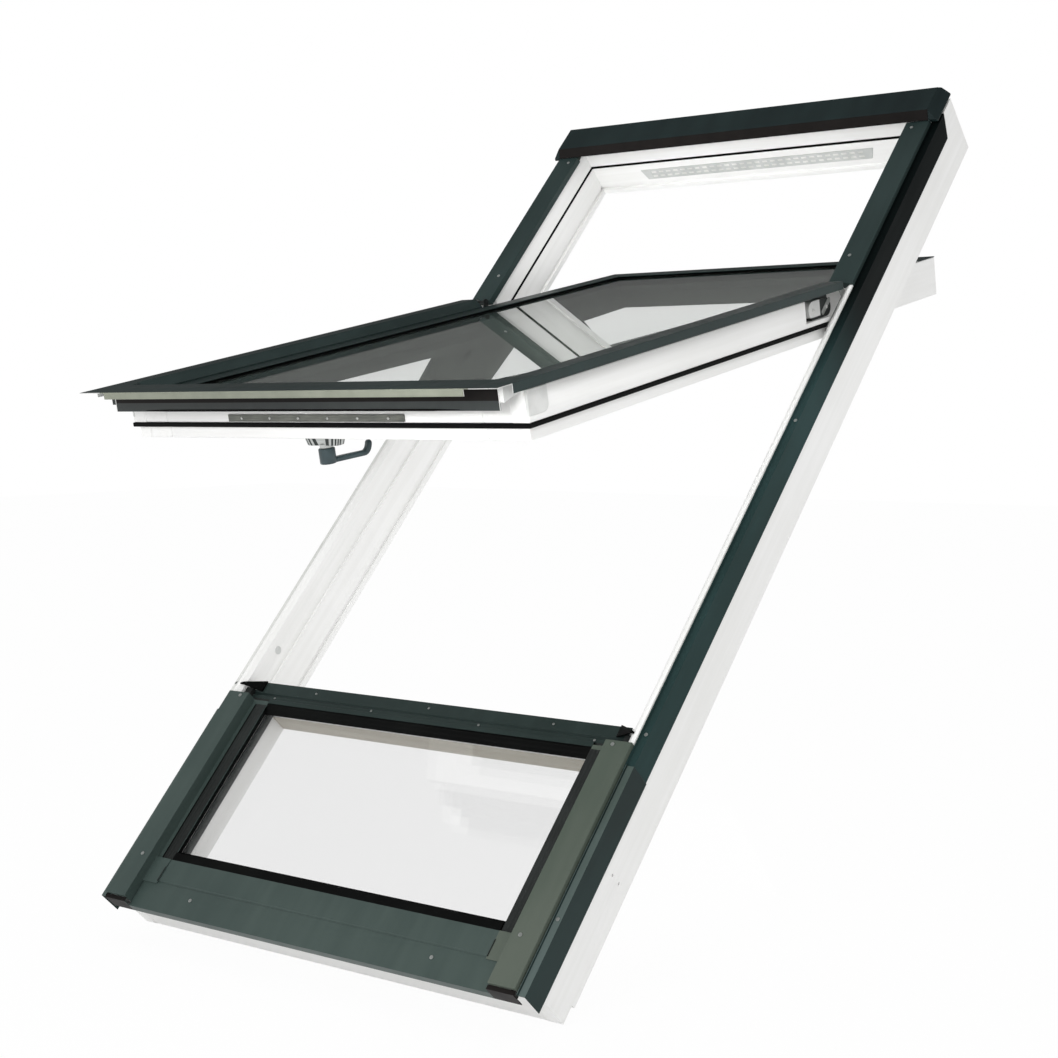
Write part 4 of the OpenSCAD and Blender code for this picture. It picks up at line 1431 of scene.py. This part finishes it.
@dataclass
class SashCladding:
    """Glazing caps, raised stile covers, bottom plate, and the web with its corners and shadow bead."""

    fold: float = 0.0004
    lip_half: float = 0.4035
    wall_in: float = 0.45
    web_edge: float = 0.4203
    web_shade: float = 0.0072
    seal_half: float = 0.345
    seal_taper: float = 0.05
    seal_tip: float = 0.3
    seal_set: float = -0.0002
    seal_w: float = 0.0026
    seal_t: float = 0.0034
    seal_rise: float = 0.0017
    seal_points: int = 20

    def plate(self) -> None:
        """The bottom plate: painted light on its front lip, its cut ends bright."""
        piece = eased("bottom_plate", DARK_LACQUER, self.fold)
        split_across(piece, self.lip_half)
        # the lip's front faces take painted light
        repaint(piece, LIP_PAINTED_LIGHT, -SASH.up)
        repaint(piece, CUT_METAL, -SASH.up, self.lip_half)
        repaint(piece, CUT_METAL, -SASH.out, self.lip_half)
        repaint(piece, CUT_METAL, ACROSS)
        repaint(piece, CUT_METAL, -ACROSS)

    def web(self) -> None:
        """The web, with painted shade in the fold below the plate, and bright cut ends."""
        piece = eased("drip_web", WEB_LACQUER, self.fold)
        shade = SASH.span("bottom_plate")[0][2] - self.web_shade
        split(piece, SASH.to_row(np.array([0.0, 0.0, shade])), SASH.out)
        split_across(piece, self.web_edge)
        # the web's strip under the lip takes near-black painted shade
        repaint(piece, DEEP_PAINTED_SHADE, -SASH.up, axes=SASH, out=(shade, math.inf))
        repaint(piece, CUT_METAL, -SASH.up, self.web_edge)

    def web_seal(self) -> None:
        """A rubber bead, a painted shadow line under the web: a rounded bar, thinned to both ends."""
        low = SASH.span("drip_web")[0]
        full = self.seal_half - self.seal_taper
        x = np.array([[-self.seal_half], [-full], [full], [self.seal_half]])
        thin = np.array([[self.seal_tip], [1.0], [1.0], [self.seal_tip]])
        bar = rounded(self.seal_w, self.seal_t, Corner.SOFT, self.seal_points)
        up = low[1] + self.seal_set + thin * bar[:, 0]
        out = low[2] + self.seal_rise + thin * bar[:, 1]
        # black rubber bead as a painted shadow line under the web
        piece = placed("web_seal", SASH, gridded(x, up, out))
        install(piece, "closing_seal", SEAL_RUBBER, stands_for=False)

    def build(self) -> None:
        """Makes and paints the sash's sheet work."""
        for side, finish in zip(Side, (WEB_LACQUER, CAP_PLASTIC)):
            cover = eased(f"stile_cover_{side}", DARK_LACQUER, self.fold)
            repaint(cover, CUT_METAL, -SASH.up)
            # the inner face of the outer wall is painted pale
            repaint(cover, PALE_WALL_AND_PAINTED_HIGHLIGHT, -side.reach * ACROSS, beyond=self.wall_in)
            eased(f"web_corner_{side}", finish, self.fold)
        eased("glazing_caps", DARK_LACQUER, self.fold)
        self.plate()
        self.web()
        self.web_seal()


@dataclass
class Hinges:
    """Hinge plates and arms, with a link and a stack of spring washers on each."""

    arris: float = 0.0008
    washer_low: float = 0.0055
    washer_high: float = 0.0074
    washers: int = 7
    stack_share: float = 4.0
    clear: float = 0.0006
    sides: int = 28
    block_v: float = -0.062
    block_end_v: float = -0.05
    rail_w: float = -0.0455
    link_from: tuple[float, float] = (-0.052, -0.041)
    link_to: tuple[float, float] = (-0.026, -0.022)
    link_r: float = 0.0052
    link_t: float = 0.0008
    link_edge: float = 0.0004
    link_levels: tuple[float, ...] = (0.0, 0.25, 0.75, 1.0)

    def washer_stack(self, side: Side) -> None:
        """Turns the washers on one pin: each is a square step in radius.

        Args:
            side: which hinge.
        """
        inner = WINDOW.sideways(f"hinge_plate_{side}")[0] - self.clear
        outer = SASH.sideways(f"hinge_arm_{side}")[1]
        first = inner - (outer - inner) * self.stack_share
        heights = np.repeat(np.linspace(first, inner, self.washers * 2 + 1), 2)[1:-1]
        radii = np.tile(np.repeat([self.washer_high, self.washer_low], 2), self.washers)
        turned = lathe(np.stack([radii, heights], 1), self.sides)
        grid = aimed(turned, np.zeros(3), side.reach * ACROSS)
        piece = placed(f"pivot_washers_{side}", SASH, grid)
        install(piece, f"hinge_arm_{side}", PLATED_STEEL, stands_for=False)

    def arm(self, side: Side) -> None:
        """The arm in white plastic, with the block's upper part and the foot rail in dark steel.

        Args:
            side: which hinge.
        """
        piece = eased(f"hinge_arm_{side}", CAP_PLASTIC, self.arris)
        split(piece, SASH.to_row(np.array([0.0, self.block_v, 0.0])), SASH.up)
        split(piece, SASH.to_row(np.array([0.0, 0.0, self.rail_w])), SASH.out)
        repaint(piece, DARK_STEEL, axes=SASH, up=(self.block_v, math.inf))
        repaint(piece, DARK_STEEL, axes=SASH, out=(-math.inf, self.rail_w))

    def link(self, side: Side) -> None:
        """A flat link on the block: a ring round two centres, its radius stepped in at both faces.

        Points at an angle go round the centre that lies on their side of the link.

        Args:
            side: which hinge.
        """
        first, last = np.array(self.link_from), np.array(self.link_to)
        along = (last - first) / np.linalg.norm(last - first)
        aside = np.array([-along[1], along[0]])
        angle = angles(self.sides)[:, None]
        round_at = np.cos(angle) * along + np.sin(angle) * aside
        centre = np.where(np.cos(angle) >= 0.0, last, first)
        radius = self.link_r - self.link_edge * np.array([1.0, 0.0, 0.0, 1.0])
        flat = centre[None] + radius[:, None, None] * round_at[None]
        rise = np.array(self.link_levels) * self.link_t + self.block_face(side)
        grid = gridded(side.reach * rise[:, None], flat[..., 0], flat[..., 1])
        piece = placed(f"hinge_link_{side}", SASH, grid)
        install(piece, f"hinge_arm_{side}", PLATED_STEEL, stands_for=False)

    def block_face(self, side: Side) -> float:
        """Distance of the friction block's face from the middle, read off its far end's corners."""
        corners = SASH.points(f"hinge_arm_{side}")
        return float(np.abs(corners[corners[:, 1] < self.block_end_v][:, 0]).max())

    def build(self) -> None:
        """Makes and paints the hinges."""
        for side in Side:
            eased(f"hinge_plate_{side}", PLATED_STEEL, self.arris)
            self.arm(side)
            self.link(side)
            self.washer_stack(side)


@dataclass
class HandleSet:
    """Locking strip, fluted handle base and the lever."""

    turn: float = math.radians(20.0)
    lock_arris: float = 0.0007
    flutes: int = 20
    flute_depth: float = 0.0011
    # cosine of the flute wave below which a column takes painted shade
    flute_dark: float = -0.2
    flute_rows: int = 3
    plate_t: float = 0.012
    plate_taper: float = 0.0036
    boss_radius: float = 0.0108
    boss_shoulder: float = 0.6
    boss_chamfer: float = 0.0008
    boss_clear: float = 0.0003
    edge: float = 0.0018
    edge_turn: float = 0.3
    outline_points: int = 240
    lever_sections: int = 36
    section_points: int = 24
    hub_points: int = 48
    hub_radius: float = 0.0138
    arm_start: float = 0.3
    arm_height: float = 0.009
    arm_width: float = 0.0195
    tip_width: float = 0.0128
    tip_share: float = 0.05
    tip_least: float = 0.3
    elbow: float = 0.012
    elbow_share: float = 0.62

    @staticmethod
    def spindle() -> np.ndarray:
        """The handle joint's point in the sash's axes."""
        return SASH.to_local(np.array(joint("handle_turn")["pos_m"]))

    def turned(self, profile: Sequence[Sequence[float]]) -> np.ndarray:
        """Turns a profile of radius and level about the spindle."""
        grid = lathe(np.array(profile), self.hub_points)
        return grid + self.spindle() * np.array([1.0, 1.0, 0.0])

    def base_grids(self) -> list[np.ndarray]:
        """The fluted base and its turned boss.

        The base is a rounded block that narrows to its foot, its outline dipped by a cosine wave.

        Returns:
            Two grids of stations by points by three, in the sash's axes.
        """
        low, high = SASH.span("handle_base")
        place = self.spindle()
        tall = 2.0 * (high[1] - place[1])
        outline = rounded(high[0] - low[0], tall, Corner.SOFT, self.outline_points)
        wave = np.cos(self.flutes * angles(self.outline_points))
        dip = self.flute_depth * (1.0 - wave) / 2.0
        foot = high[2] - self.plate_t
        soft = self.edge_turn * self.edge
        level = np.array([high[2], foot + self.edge, foot + soft, foot])
        inset = np.array([-self.plate_taper, 0.0, soft, self.edge]) + self.plate_taper
        scale = 1.0 - (inset[:, None] + dip) / np.linalg.norm(outline, axis=1)
        flat = outline * scale[..., None] + place[:2]
        plate = gridded(flat[..., 0], flat[..., 1], level[:, None])
        lever_top = SASH.span("handle_lever")[1][2]
        r = self.boss_radius
        boss = self.turned([
            [r, foot + self.edge], [r, lever_top + self.boss_shoulder * self.edge],
            [r - self.boss_chamfer, lever_top + self.boss_clear],
        ])
        return [plate, boss]

    def arm_grid(self, low: np.ndarray, high: np.ndarray) -> np.ndarray:
        """The lever's arm: rounded sections along a straight run and a quarter ellipse upwards.

        The run's share s goes from zero to one, then the angle a of the ellipse from zero to a
        right one: travel is start plus run times s plus the elbow times sine a, and the level
        rises by the lift times one less cosine a. Each section stands square to that line.

        Args:
            low: lowest corner of the solid lever.
            high: highest corner of the solid lever.

        Returns:
            Stations by points by three, in the sash's axes.
        """
        place = self.spindle()
        reach = np.hypot(*(SASH.points("handle_lever")[:, :2] - place[:2]).T).max()
        t = np.linspace(0.0, 1.0, self.lever_sections)
        share = np.clip(t / self.elbow_share, 0.0, 1.0)
        bend = np.clip((t - self.elbow_share) / (1.0 - self.elbow_share), 0.0, 1.0) * math.pi / 2.0
        start = self.hub_radius * self.arm_start
        level = low[2] + self.arm_height / 2.0
        lift = high[2] - self.edge - level
        run = reach - self.arm_height / 2.0 - self.elbow - start
        travel = start + run * share + self.elbow * np.sin(bend)
        rise = level + lift * (1.0 - np.cos(bend))
        ahead = np.stack([self.elbow * np.cos(bend), lift * np.sin(bend)], 1)
        ahead /= np.linalg.norm(ahead, axis=1, keepdims=True)
        past = np.clip((t - 1.0 + self.tip_share) / self.tip_share, 0.0, 1.0)
        tip = np.sqrt(np.clip(1.0 - past ** 2, self.tip_least, 1.0))
        section = rounded(1.0, 1.0, Corner.GRIP, self.section_points)
        width = (self.arm_width + (self.tip_width - self.arm_width) * t) * tip
        wide = width[:, None] * section[:, 0]
        tall = (self.arm_height * tip)[:, None] * section[:, 1]
        along = np.array([math.sin(self.turn), math.cos(self.turn)])
        aside = np.array([along[1], -along[0]])
        flat = (travel[:, None] - ahead[:, 1:] * tall)[..., None] * along + wide[..., None] * aside
        flat += place[:2]
        return gridded(flat[..., 0], flat[..., 1], rise[:, None] + ahead[:, :1] * tall)

    def lever_grids(self) -> list[np.ndarray]:
        """The lever: its arm, and a turned hub with eased rims.

        Returns:
            Two grids of stations by points by three, in the sash's axes.
        """
        low, high = SASH.span("handle_lever")
        r, e = self.hub_radius, self.edge
        soft = self.edge_turn * e
        hub = self.turned([
            [r - e, high[2]], [r - soft, high[2] - soft], [r, high[2] - e],
            [r, low[2] + e], [r - soft, low[2] + soft], [r - e, low[2]],
        ])
        return [self.arm_grid(low, high), hub]

    def darken_flutes(self, base: bpy.types.Object) -> None:
        """Gives each flute's bottom a painted shade: the columns where the dipping wave is low.

        Args:
            base: the base, whose first faces are the block's rows of columns.
        """
        column = angles(self.outline_points) + math.pi / self.outline_points
        groove = np.tile(np.cos(self.flutes * column) < self.flute_dark, self.flute_rows)
        chosen = np.zeros(len(base.data.polygons), np.int32)
        chosen[:len(groove)] = groove
        # dark steel in the flute bottoms is painted shade
        base.data.materials.append(DARK_STEEL.material())
        base.data.polygons.foreach_set("material_index", chosen)

    def build(self) -> None:
        """Makes and paints the lock and the handle."""
        eased("lock_strip", LOCK_STEEL, self.lock_arris)
        base = placed("handle_base_fluted", SASH, *self.base_grids())
        install(base, "handle_base", SATIN_METAL)
        self.darken_flutes(base)
        lever = placed("handle_lever_grip", SASH, *self.lever_grids())
        install(lever, "handle_lever", LEVER_PAINT)


@dataclass
class Screws:
    """Pan-head screws with a cross recess, one where each solid head lies."""

    rings: int = 9
    sides: int = 24
    rim_share: float = 0.97
    eye_share: float = 0.02
    dome_fall: float = 0.45
    recess_share: float = 0.62
    recess_width_share: float = 0.17
    recess_depth_share: float = 0.5

    def head(self, radius: float, height: float) -> np.ndarray:
        """A domed head as a height over radius and angle.

        The dome falls with the square of the radius and meets its rim in a short wall. The cross
        is a dip wherever a point lies near either of two square axes and near the middle.

        Args:
            radius: radius of the rim.
            height: height of the dome.

        Returns:
            Stations by points by three.
        """
        share = np.linspace(self.rim_share, self.eye_share, self.rings)
        share = np.concatenate([[1.0, 1.0], share])[:, None]
        angle = angles(self.sides)
        x, y = share * np.cos(angle), share * np.sin(angle)
        dome = height * (1.0 - self.dome_fall * share ** 2) * np.ones_like(x)
        dome[0] = 0.0
        near = np.minimum(np.abs(x), np.abs(y)) < self.recess_width_share
        inside = share < self.recess_share
        dome = np.where(near & inside, dome - self.recess_depth_share * height, dome)
        return gridded(x * radius, y * radius, dome)

    def islands(self, node: str, axes: Axes) -> list[np.ndarray]:
        """Corners of each separate head of a group.

        Corners at one place share a number. Then the two ends of every edge take the lower of
        their numbers, over and over until nothing changes, so each head ends with one number.

        Args:
            node: the group of solid heads.
            axes: axes of the corners.

        Returns:
            An array of corners by three for each head.
        """
        mesh = frame["nodes"][node].data
        ends = np.empty(len(mesh.edges) * 2, np.int32)
        mesh.edges.foreach_get("vertices", ends)
        corners = axes.points(node)
        places = np.unique(np.round(corners / MERGE_DISTANCE), axis=0, return_inverse=True)[1]
        first, last = places.reshape(-1)[ends].reshape(-1, 2).T
        label = np.arange(places.max() + 1)
        settled = False
        while not settled:
            lower = label.copy()
            np.minimum.at(lower, first, label[last])
            np.minimum.at(lower, last, label[first])
            settled = np.array_equal(lower, label)
            label = lower
        member = label[places.reshape(-1)]
        return [corners[member == head] for head in np.unique(member)]

    def group(self, node: str, axes: Axes, finish: Finish) -> None:
        """Puts a recessed head at each place of a group of solid heads.

        Args:
            node: the group.
            axes: the axes that its heads stand square to.
            finish: their finish.
        """
        grids = []
        for corners in self.islands(node, axes):
            low, high = corners.min(0), corners.max(0)
            size = high - low
            middle = (low + high) / 2.0
            thin = int(np.argmin(size))
            towards = np.zeros(3)
            towards[thin] = (math.copysign(1.0, middle[0]), -1.0, 1.0)[thin]
            foot = middle - towards * size[thin] / 2.0
            head = self.head(float(size.max()) / 2.0, float(size[thin]))
            grids.append(aimed(head, foot, towards))
        install(placed(f"{node}_crossed", axes, *grids), node, finish)

    def build(self) -> None:
        """Makes the screws of the frame and of the sash."""
        self.group("frame_screws", WINDOW, SATIN_METAL)
        self.group("sash_screws", SASH, CUT_METAL)


@dataclass(frozen=True)
class Lamp:
    """A square soft lamp: its place, the place it points at, its side, watts and beam angle."""

    name: str
    place: tuple[float, float, float]
    aim: tuple[float, float, float]
    size: float
    power: float
    spread: float = math.pi

    def hang(self) -> None:
        """Hangs the lamp, unseen by the camera, gloss and glass."""
        data = bpy.data.lights.new(self.name, "AREA")
        data.shape = "SQUARE"
        data.size = self.size
        data.energy = self.power
        data.spread = self.spread
        made = bpy.data.objects.new(self.name, data)
        made.location = self.place
        ray = Vector(self.aim) - Vector(self.place)
        made.rotation_euler = ray.to_track_quat("-Z", "Y").to_euler()
        made.visible_camera = False
        made.visible_glossy = False
        made.visible_transmission = False
        bpy.context.scene.collection.objects.link(made)


MIDDLE = (0.0, 0.6, 0.6)
LAMPS = (
    Lamp("key", place=(2.2, -3.2, 0.7), aim=MIDDLE, size=2.4, power=9.0),
    Lamp("front", place=(-0.6, -3.4, 0.6), aim=MIDDLE, size=2.4, power=15.0),
    Lamp("upper_front", place=(0.6, -3.0, 1.9), aim=(0.0, 1.1, 1.35), size=1.6, power=32.0),
    Lamp("inner_fill", place=(0.28, 1.25, 0.12), aim=(-0.25, 0.85, 1.0), size=0.8, power=3.0),
    Lamp(
        "head_fill", place=(0.9, -1.5, 1.1), aim=(-0.15, 1.2, 1.42), size=0.3, power=1.5,
        spread=math.radians(40.0),
    ),
)
BRIGHT_FIELDS = (
    ((-0.05, -0.881), (-0.027, -0.645), (0.149, -0.893)),
    ((0.025, -0.247), (0.004, -0.075), (0.324, -0.089), (0.306, -0.401), (0.29, -0.564)),
    ((0.286, -0.876), (0.014, -0.434), (-0.014, -0.346), (0.296, -0.662), (0.329, -0.757)),
)
SHOWN_RAYS = ("Is Camera Ray", "Is Glossy Ray", "Is Transmission Ray")
ANY_RAY = 0.5


@dataclass
class Studio:
    """Camera, floor, lamps and world."""

    image_pixels: float = 1058.0
    focal_pixels: float = 1839.5
    centre_pixels: tuple[float, float] = (512.5, 552.9)
    sensor_mm: float = 36.0
    sight: float = 100.0
    eye: tuple[float, float, float] = (2.0727, -2.2361, 0.9057)
    azimuth: float = math.radians(37.68)
    fall: float = math.radians(4.59)
    roll: float = math.radians(0.26)
    floor_half: float = 14.0
    floor_drop: float = 0.004
    floor_white: float = 0.95
    floor_cloud: float = 0.6
    floor_tints: tuple[str, str] = ("#f4f4f4", "#f8f8f8")
    ambient: float = 0.86
    ceiling_z: float = 3.0
    ceiling_near: float = 0.42
    ceiling_far: float = 0.12
    ceiling_turn: tuple[float, float] = (-0.2, 2.2)
    bright_drop: float = 0.02

    def camera(self) -> None:
        """Sets the camera at the photograph's viewpoint."""
        data = bpy.data.cameras.new("viewpoint")
        data.sensor_width = self.sensor_mm
        data.lens = self.sensor_mm * self.focal_pixels / self.image_pixels
        half = self.image_pixels / 2.0
        data.shift_x = (half - self.centre_pixels[0]) / self.image_pixels
        data.shift_y = (self.centre_pixels[1] - half) / self.image_pixels
        data.clip_end = self.sight
        made = bpy.data.objects.new("viewpoint", data)
        level = Matrix.Rotation(self.azimuth, 4, "Z")
        tilt = Matrix.Rotation(math.pi / 2.0 - self.fall, 4, "X")
        lean = Matrix.Rotation(-self.roll, 4, "Z")
        made.matrix_world = Matrix.Translation(self.eye) @ level @ tilt @ lean
        bpy.context.scene.collection.objects.link(made)
        bpy.context.scene.camera = made

    def level(self, z: float) -> np.ndarray:
        """Corners of a wide square at a height."""
        h = self.floor_half
        return np.array([[-h, -h, z], [h, -h, z], [h, h, z], [-h, h, z]])

    @staticmethod
    def sheet(
        name: str, outlines: Sequence[np.ndarray], finish: str,
    ) -> tuple[bpy.types.Object, Graph]:
        """Puts flat sheets into the studio as one object.

        Args:
            name: the object's name.
            outlines: corners of each sheet, in the row frame.
            finish: name of its material.

        Returns:
            The object, and its material's empty graph.
        """
        counts = np.cumsum([0] + [len(outline) for outline in outlines])
        faces = [list(range(a, b)) for a, b in zip(counts[:-1], counts[1:])]
        mesh = bpy.data.meshes.new(name)
        mesh.from_pydata(np.concatenate(outlines).tolist(), [], faces)
        made = bpy.data.objects.new(name, mesh)
        bpy.context.scene.collection.objects.link(made)
        material = bpy.data.materials.new(finish)
        material.use_nodes = True
        mesh.materials.append(material)
        return made, Graph(material.node_tree)

    def floor(self) -> None:
        """Lays a plain pale floor just under the window."""
        outline = self.level(CAD_BOX[0][2] - self.floor_drop)
        made, graph = self.sheet("studio_floor", [outline], "pale_floor")
        cloud = graph.noise(graph.place(NO_TURN, EVEN), self.floor_cloud, Detail.SOFT)
        tint = graph.mix(cloud, *(srgb(code) for code in self.floor_tints))
        matt = graph.value("ShaderNodeBsdfDiffuse", {}, {"Color": tint})
        seen = self.seen_directly(graph) * self.floor_white
        shown = {0: seen, 1: matt, 2: graph.glow(WHITE)}
        graph.close(graph.value("ShaderNodeMixShader", {}, shown))

    def card(self, name: str, outlines: Sequence[np.ndarray]) -> Graph:
        """Hangs flat cards that only gloss and glass show.

        Args:
            name: the object's name.
            outlines: corners of each card, in the row frame.

        Returns:
            The empty graph of their material.
        """
        made, graph = self.sheet(name, outlines, name)
        made.visible_camera = False
        made.visible_diffuse = False
        made.visible_shadow = False
        return graph

    def ceiling(self) -> None:
        """Hangs a dim card over the set, darker behind the window, for the gloss of the sheet."""
        graph = self.card("studio_ceiling", [self.level(self.ceiling_z)])
        behind = graph.parts(graph.place(NO_TURN, EVEN))[1].between(*self.ceiling_turn)
        near = (self.ceiling_near, self.ceiling_near, self.ceiling_near, 1.0)
        far = (self.ceiling_far, self.ceiling_far, self.ceiling_far, 1.0)
        graph.close(graph.glow(graph.mix(behind, near, far)))

    def mirrored(self, places: np.ndarray) -> np.ndarray:
        """Places under the ceiling that the sash glass mirrors to the viewpoint.

        A ray runs from the eye to each place on the glass. There its part along the glass's normal
        is turned round, and the ray goes on to the level of the cards.

        Args:
            places: points across and up the sash, on the face of the outer pane.

        Returns:
            Points in the row frame.
        """
        face = SASH.span("sash_pane_outer")[1][2]
        hit = SASH.to_row(np.column_stack([places, np.full(len(places), face)]))
        ray = hit - np.array(self.eye)
        onward = ray - 2.0 * (ray @ SASH.out)[:, None] * SASH.out
        reach = (self.ceiling_z - self.bright_drop - hit[:, 2]) / onward[:, 2]
        return hit + onward * reach[:, None]

    def bright_fields(self) -> None:
        """Hangs white cards that the sash glass mirrors as its bright fields."""
        outlines = [self.mirrored(np.array(field)) for field in BRIGHT_FIELDS]
        graph = self.card("studio_bright", outlines)
        graph.close(graph.glow(WHITE))

    @staticmethod
    def seen_directly(graph: Graph) -> Value:
        """One for rays that show the background to the camera, also by way of gloss and glass.

        Args:
            graph: where the nodes go.

        Returns:
            One or zero.
        """
        path = graph.node("ShaderNodeLightPath", {}, {})
        camera, gloss, glass = [Value(graph, path.outputs[ray]) for ray in SHOWN_RAYS]
        return (camera + gloss + glass) > ANY_RAY

    def world(self) -> None:
        """Fills the room with even soft light and shows white behind the window."""
        world = bpy.data.worlds.new("studio")
        bpy.context.scene.world = world
        world.use_nodes = True
        graph = Graph(world.node_tree)
        soft, white = [
            graph.value("ShaderNodeBackground", {}, {"Color": WHITE, "Strength": strength})
            for strength in (self.ambient, 1.0)
        ]
        shown = {0: self.seen_directly(graph), 1: soft, 2: white}
        mixed = graph.value("ShaderNodeMixShader", {}, shown)
        graph.node("ShaderNodeOutputWorld", {}, {"Surface": mixed})

    def build(self) -> None:
        """Sets the studio."""
        self.camera()
        self.floor()
        self.world()
        self.ceiling()
        self.bright_fields()
        for lamp in LAMPS:
            lamp.hang()
        bpy.context.scene.view_settings.view_transform = "Standard"


def main() -> None:
    """Builds the studio and dresses the window, piece by piece."""
    logging.basicConfig(level=logging.INFO, format="%(name)s: %(message)s")
    Studio().build()
    TimberFrame().build()
    FrameCovers().build()
    GlassUnit(
        "light", WINDOW, CLEAR_GLASS, ring_height=0.0085, laps=(0.005, 0.019, 0.0255),
        spacer_finish=LIGHT_SPACER, spacer_w=0.004, spacer_set=0.0015,
    ).build()
    GlassUnit(
        "sash", SASH, SASH_GLASS, ring_height=0.0035, laps=(0.016, 0.016, 0.016),
        spacer_finish=SPACER_METAL, spacer_w=0.007, spacer_set=0.008,
    ).build()
    LightStrips().build()
    Seals().build()
    VentGrille().build()
    eased("glazing_clips", DARK_STEEL, CLIP_ARRIS)
    SashTimber().build()
    SashCladding().build()
    Hinges().build()
    HandleSet().build()
    Screws().build()


if __name__ == "__main__":
    main()
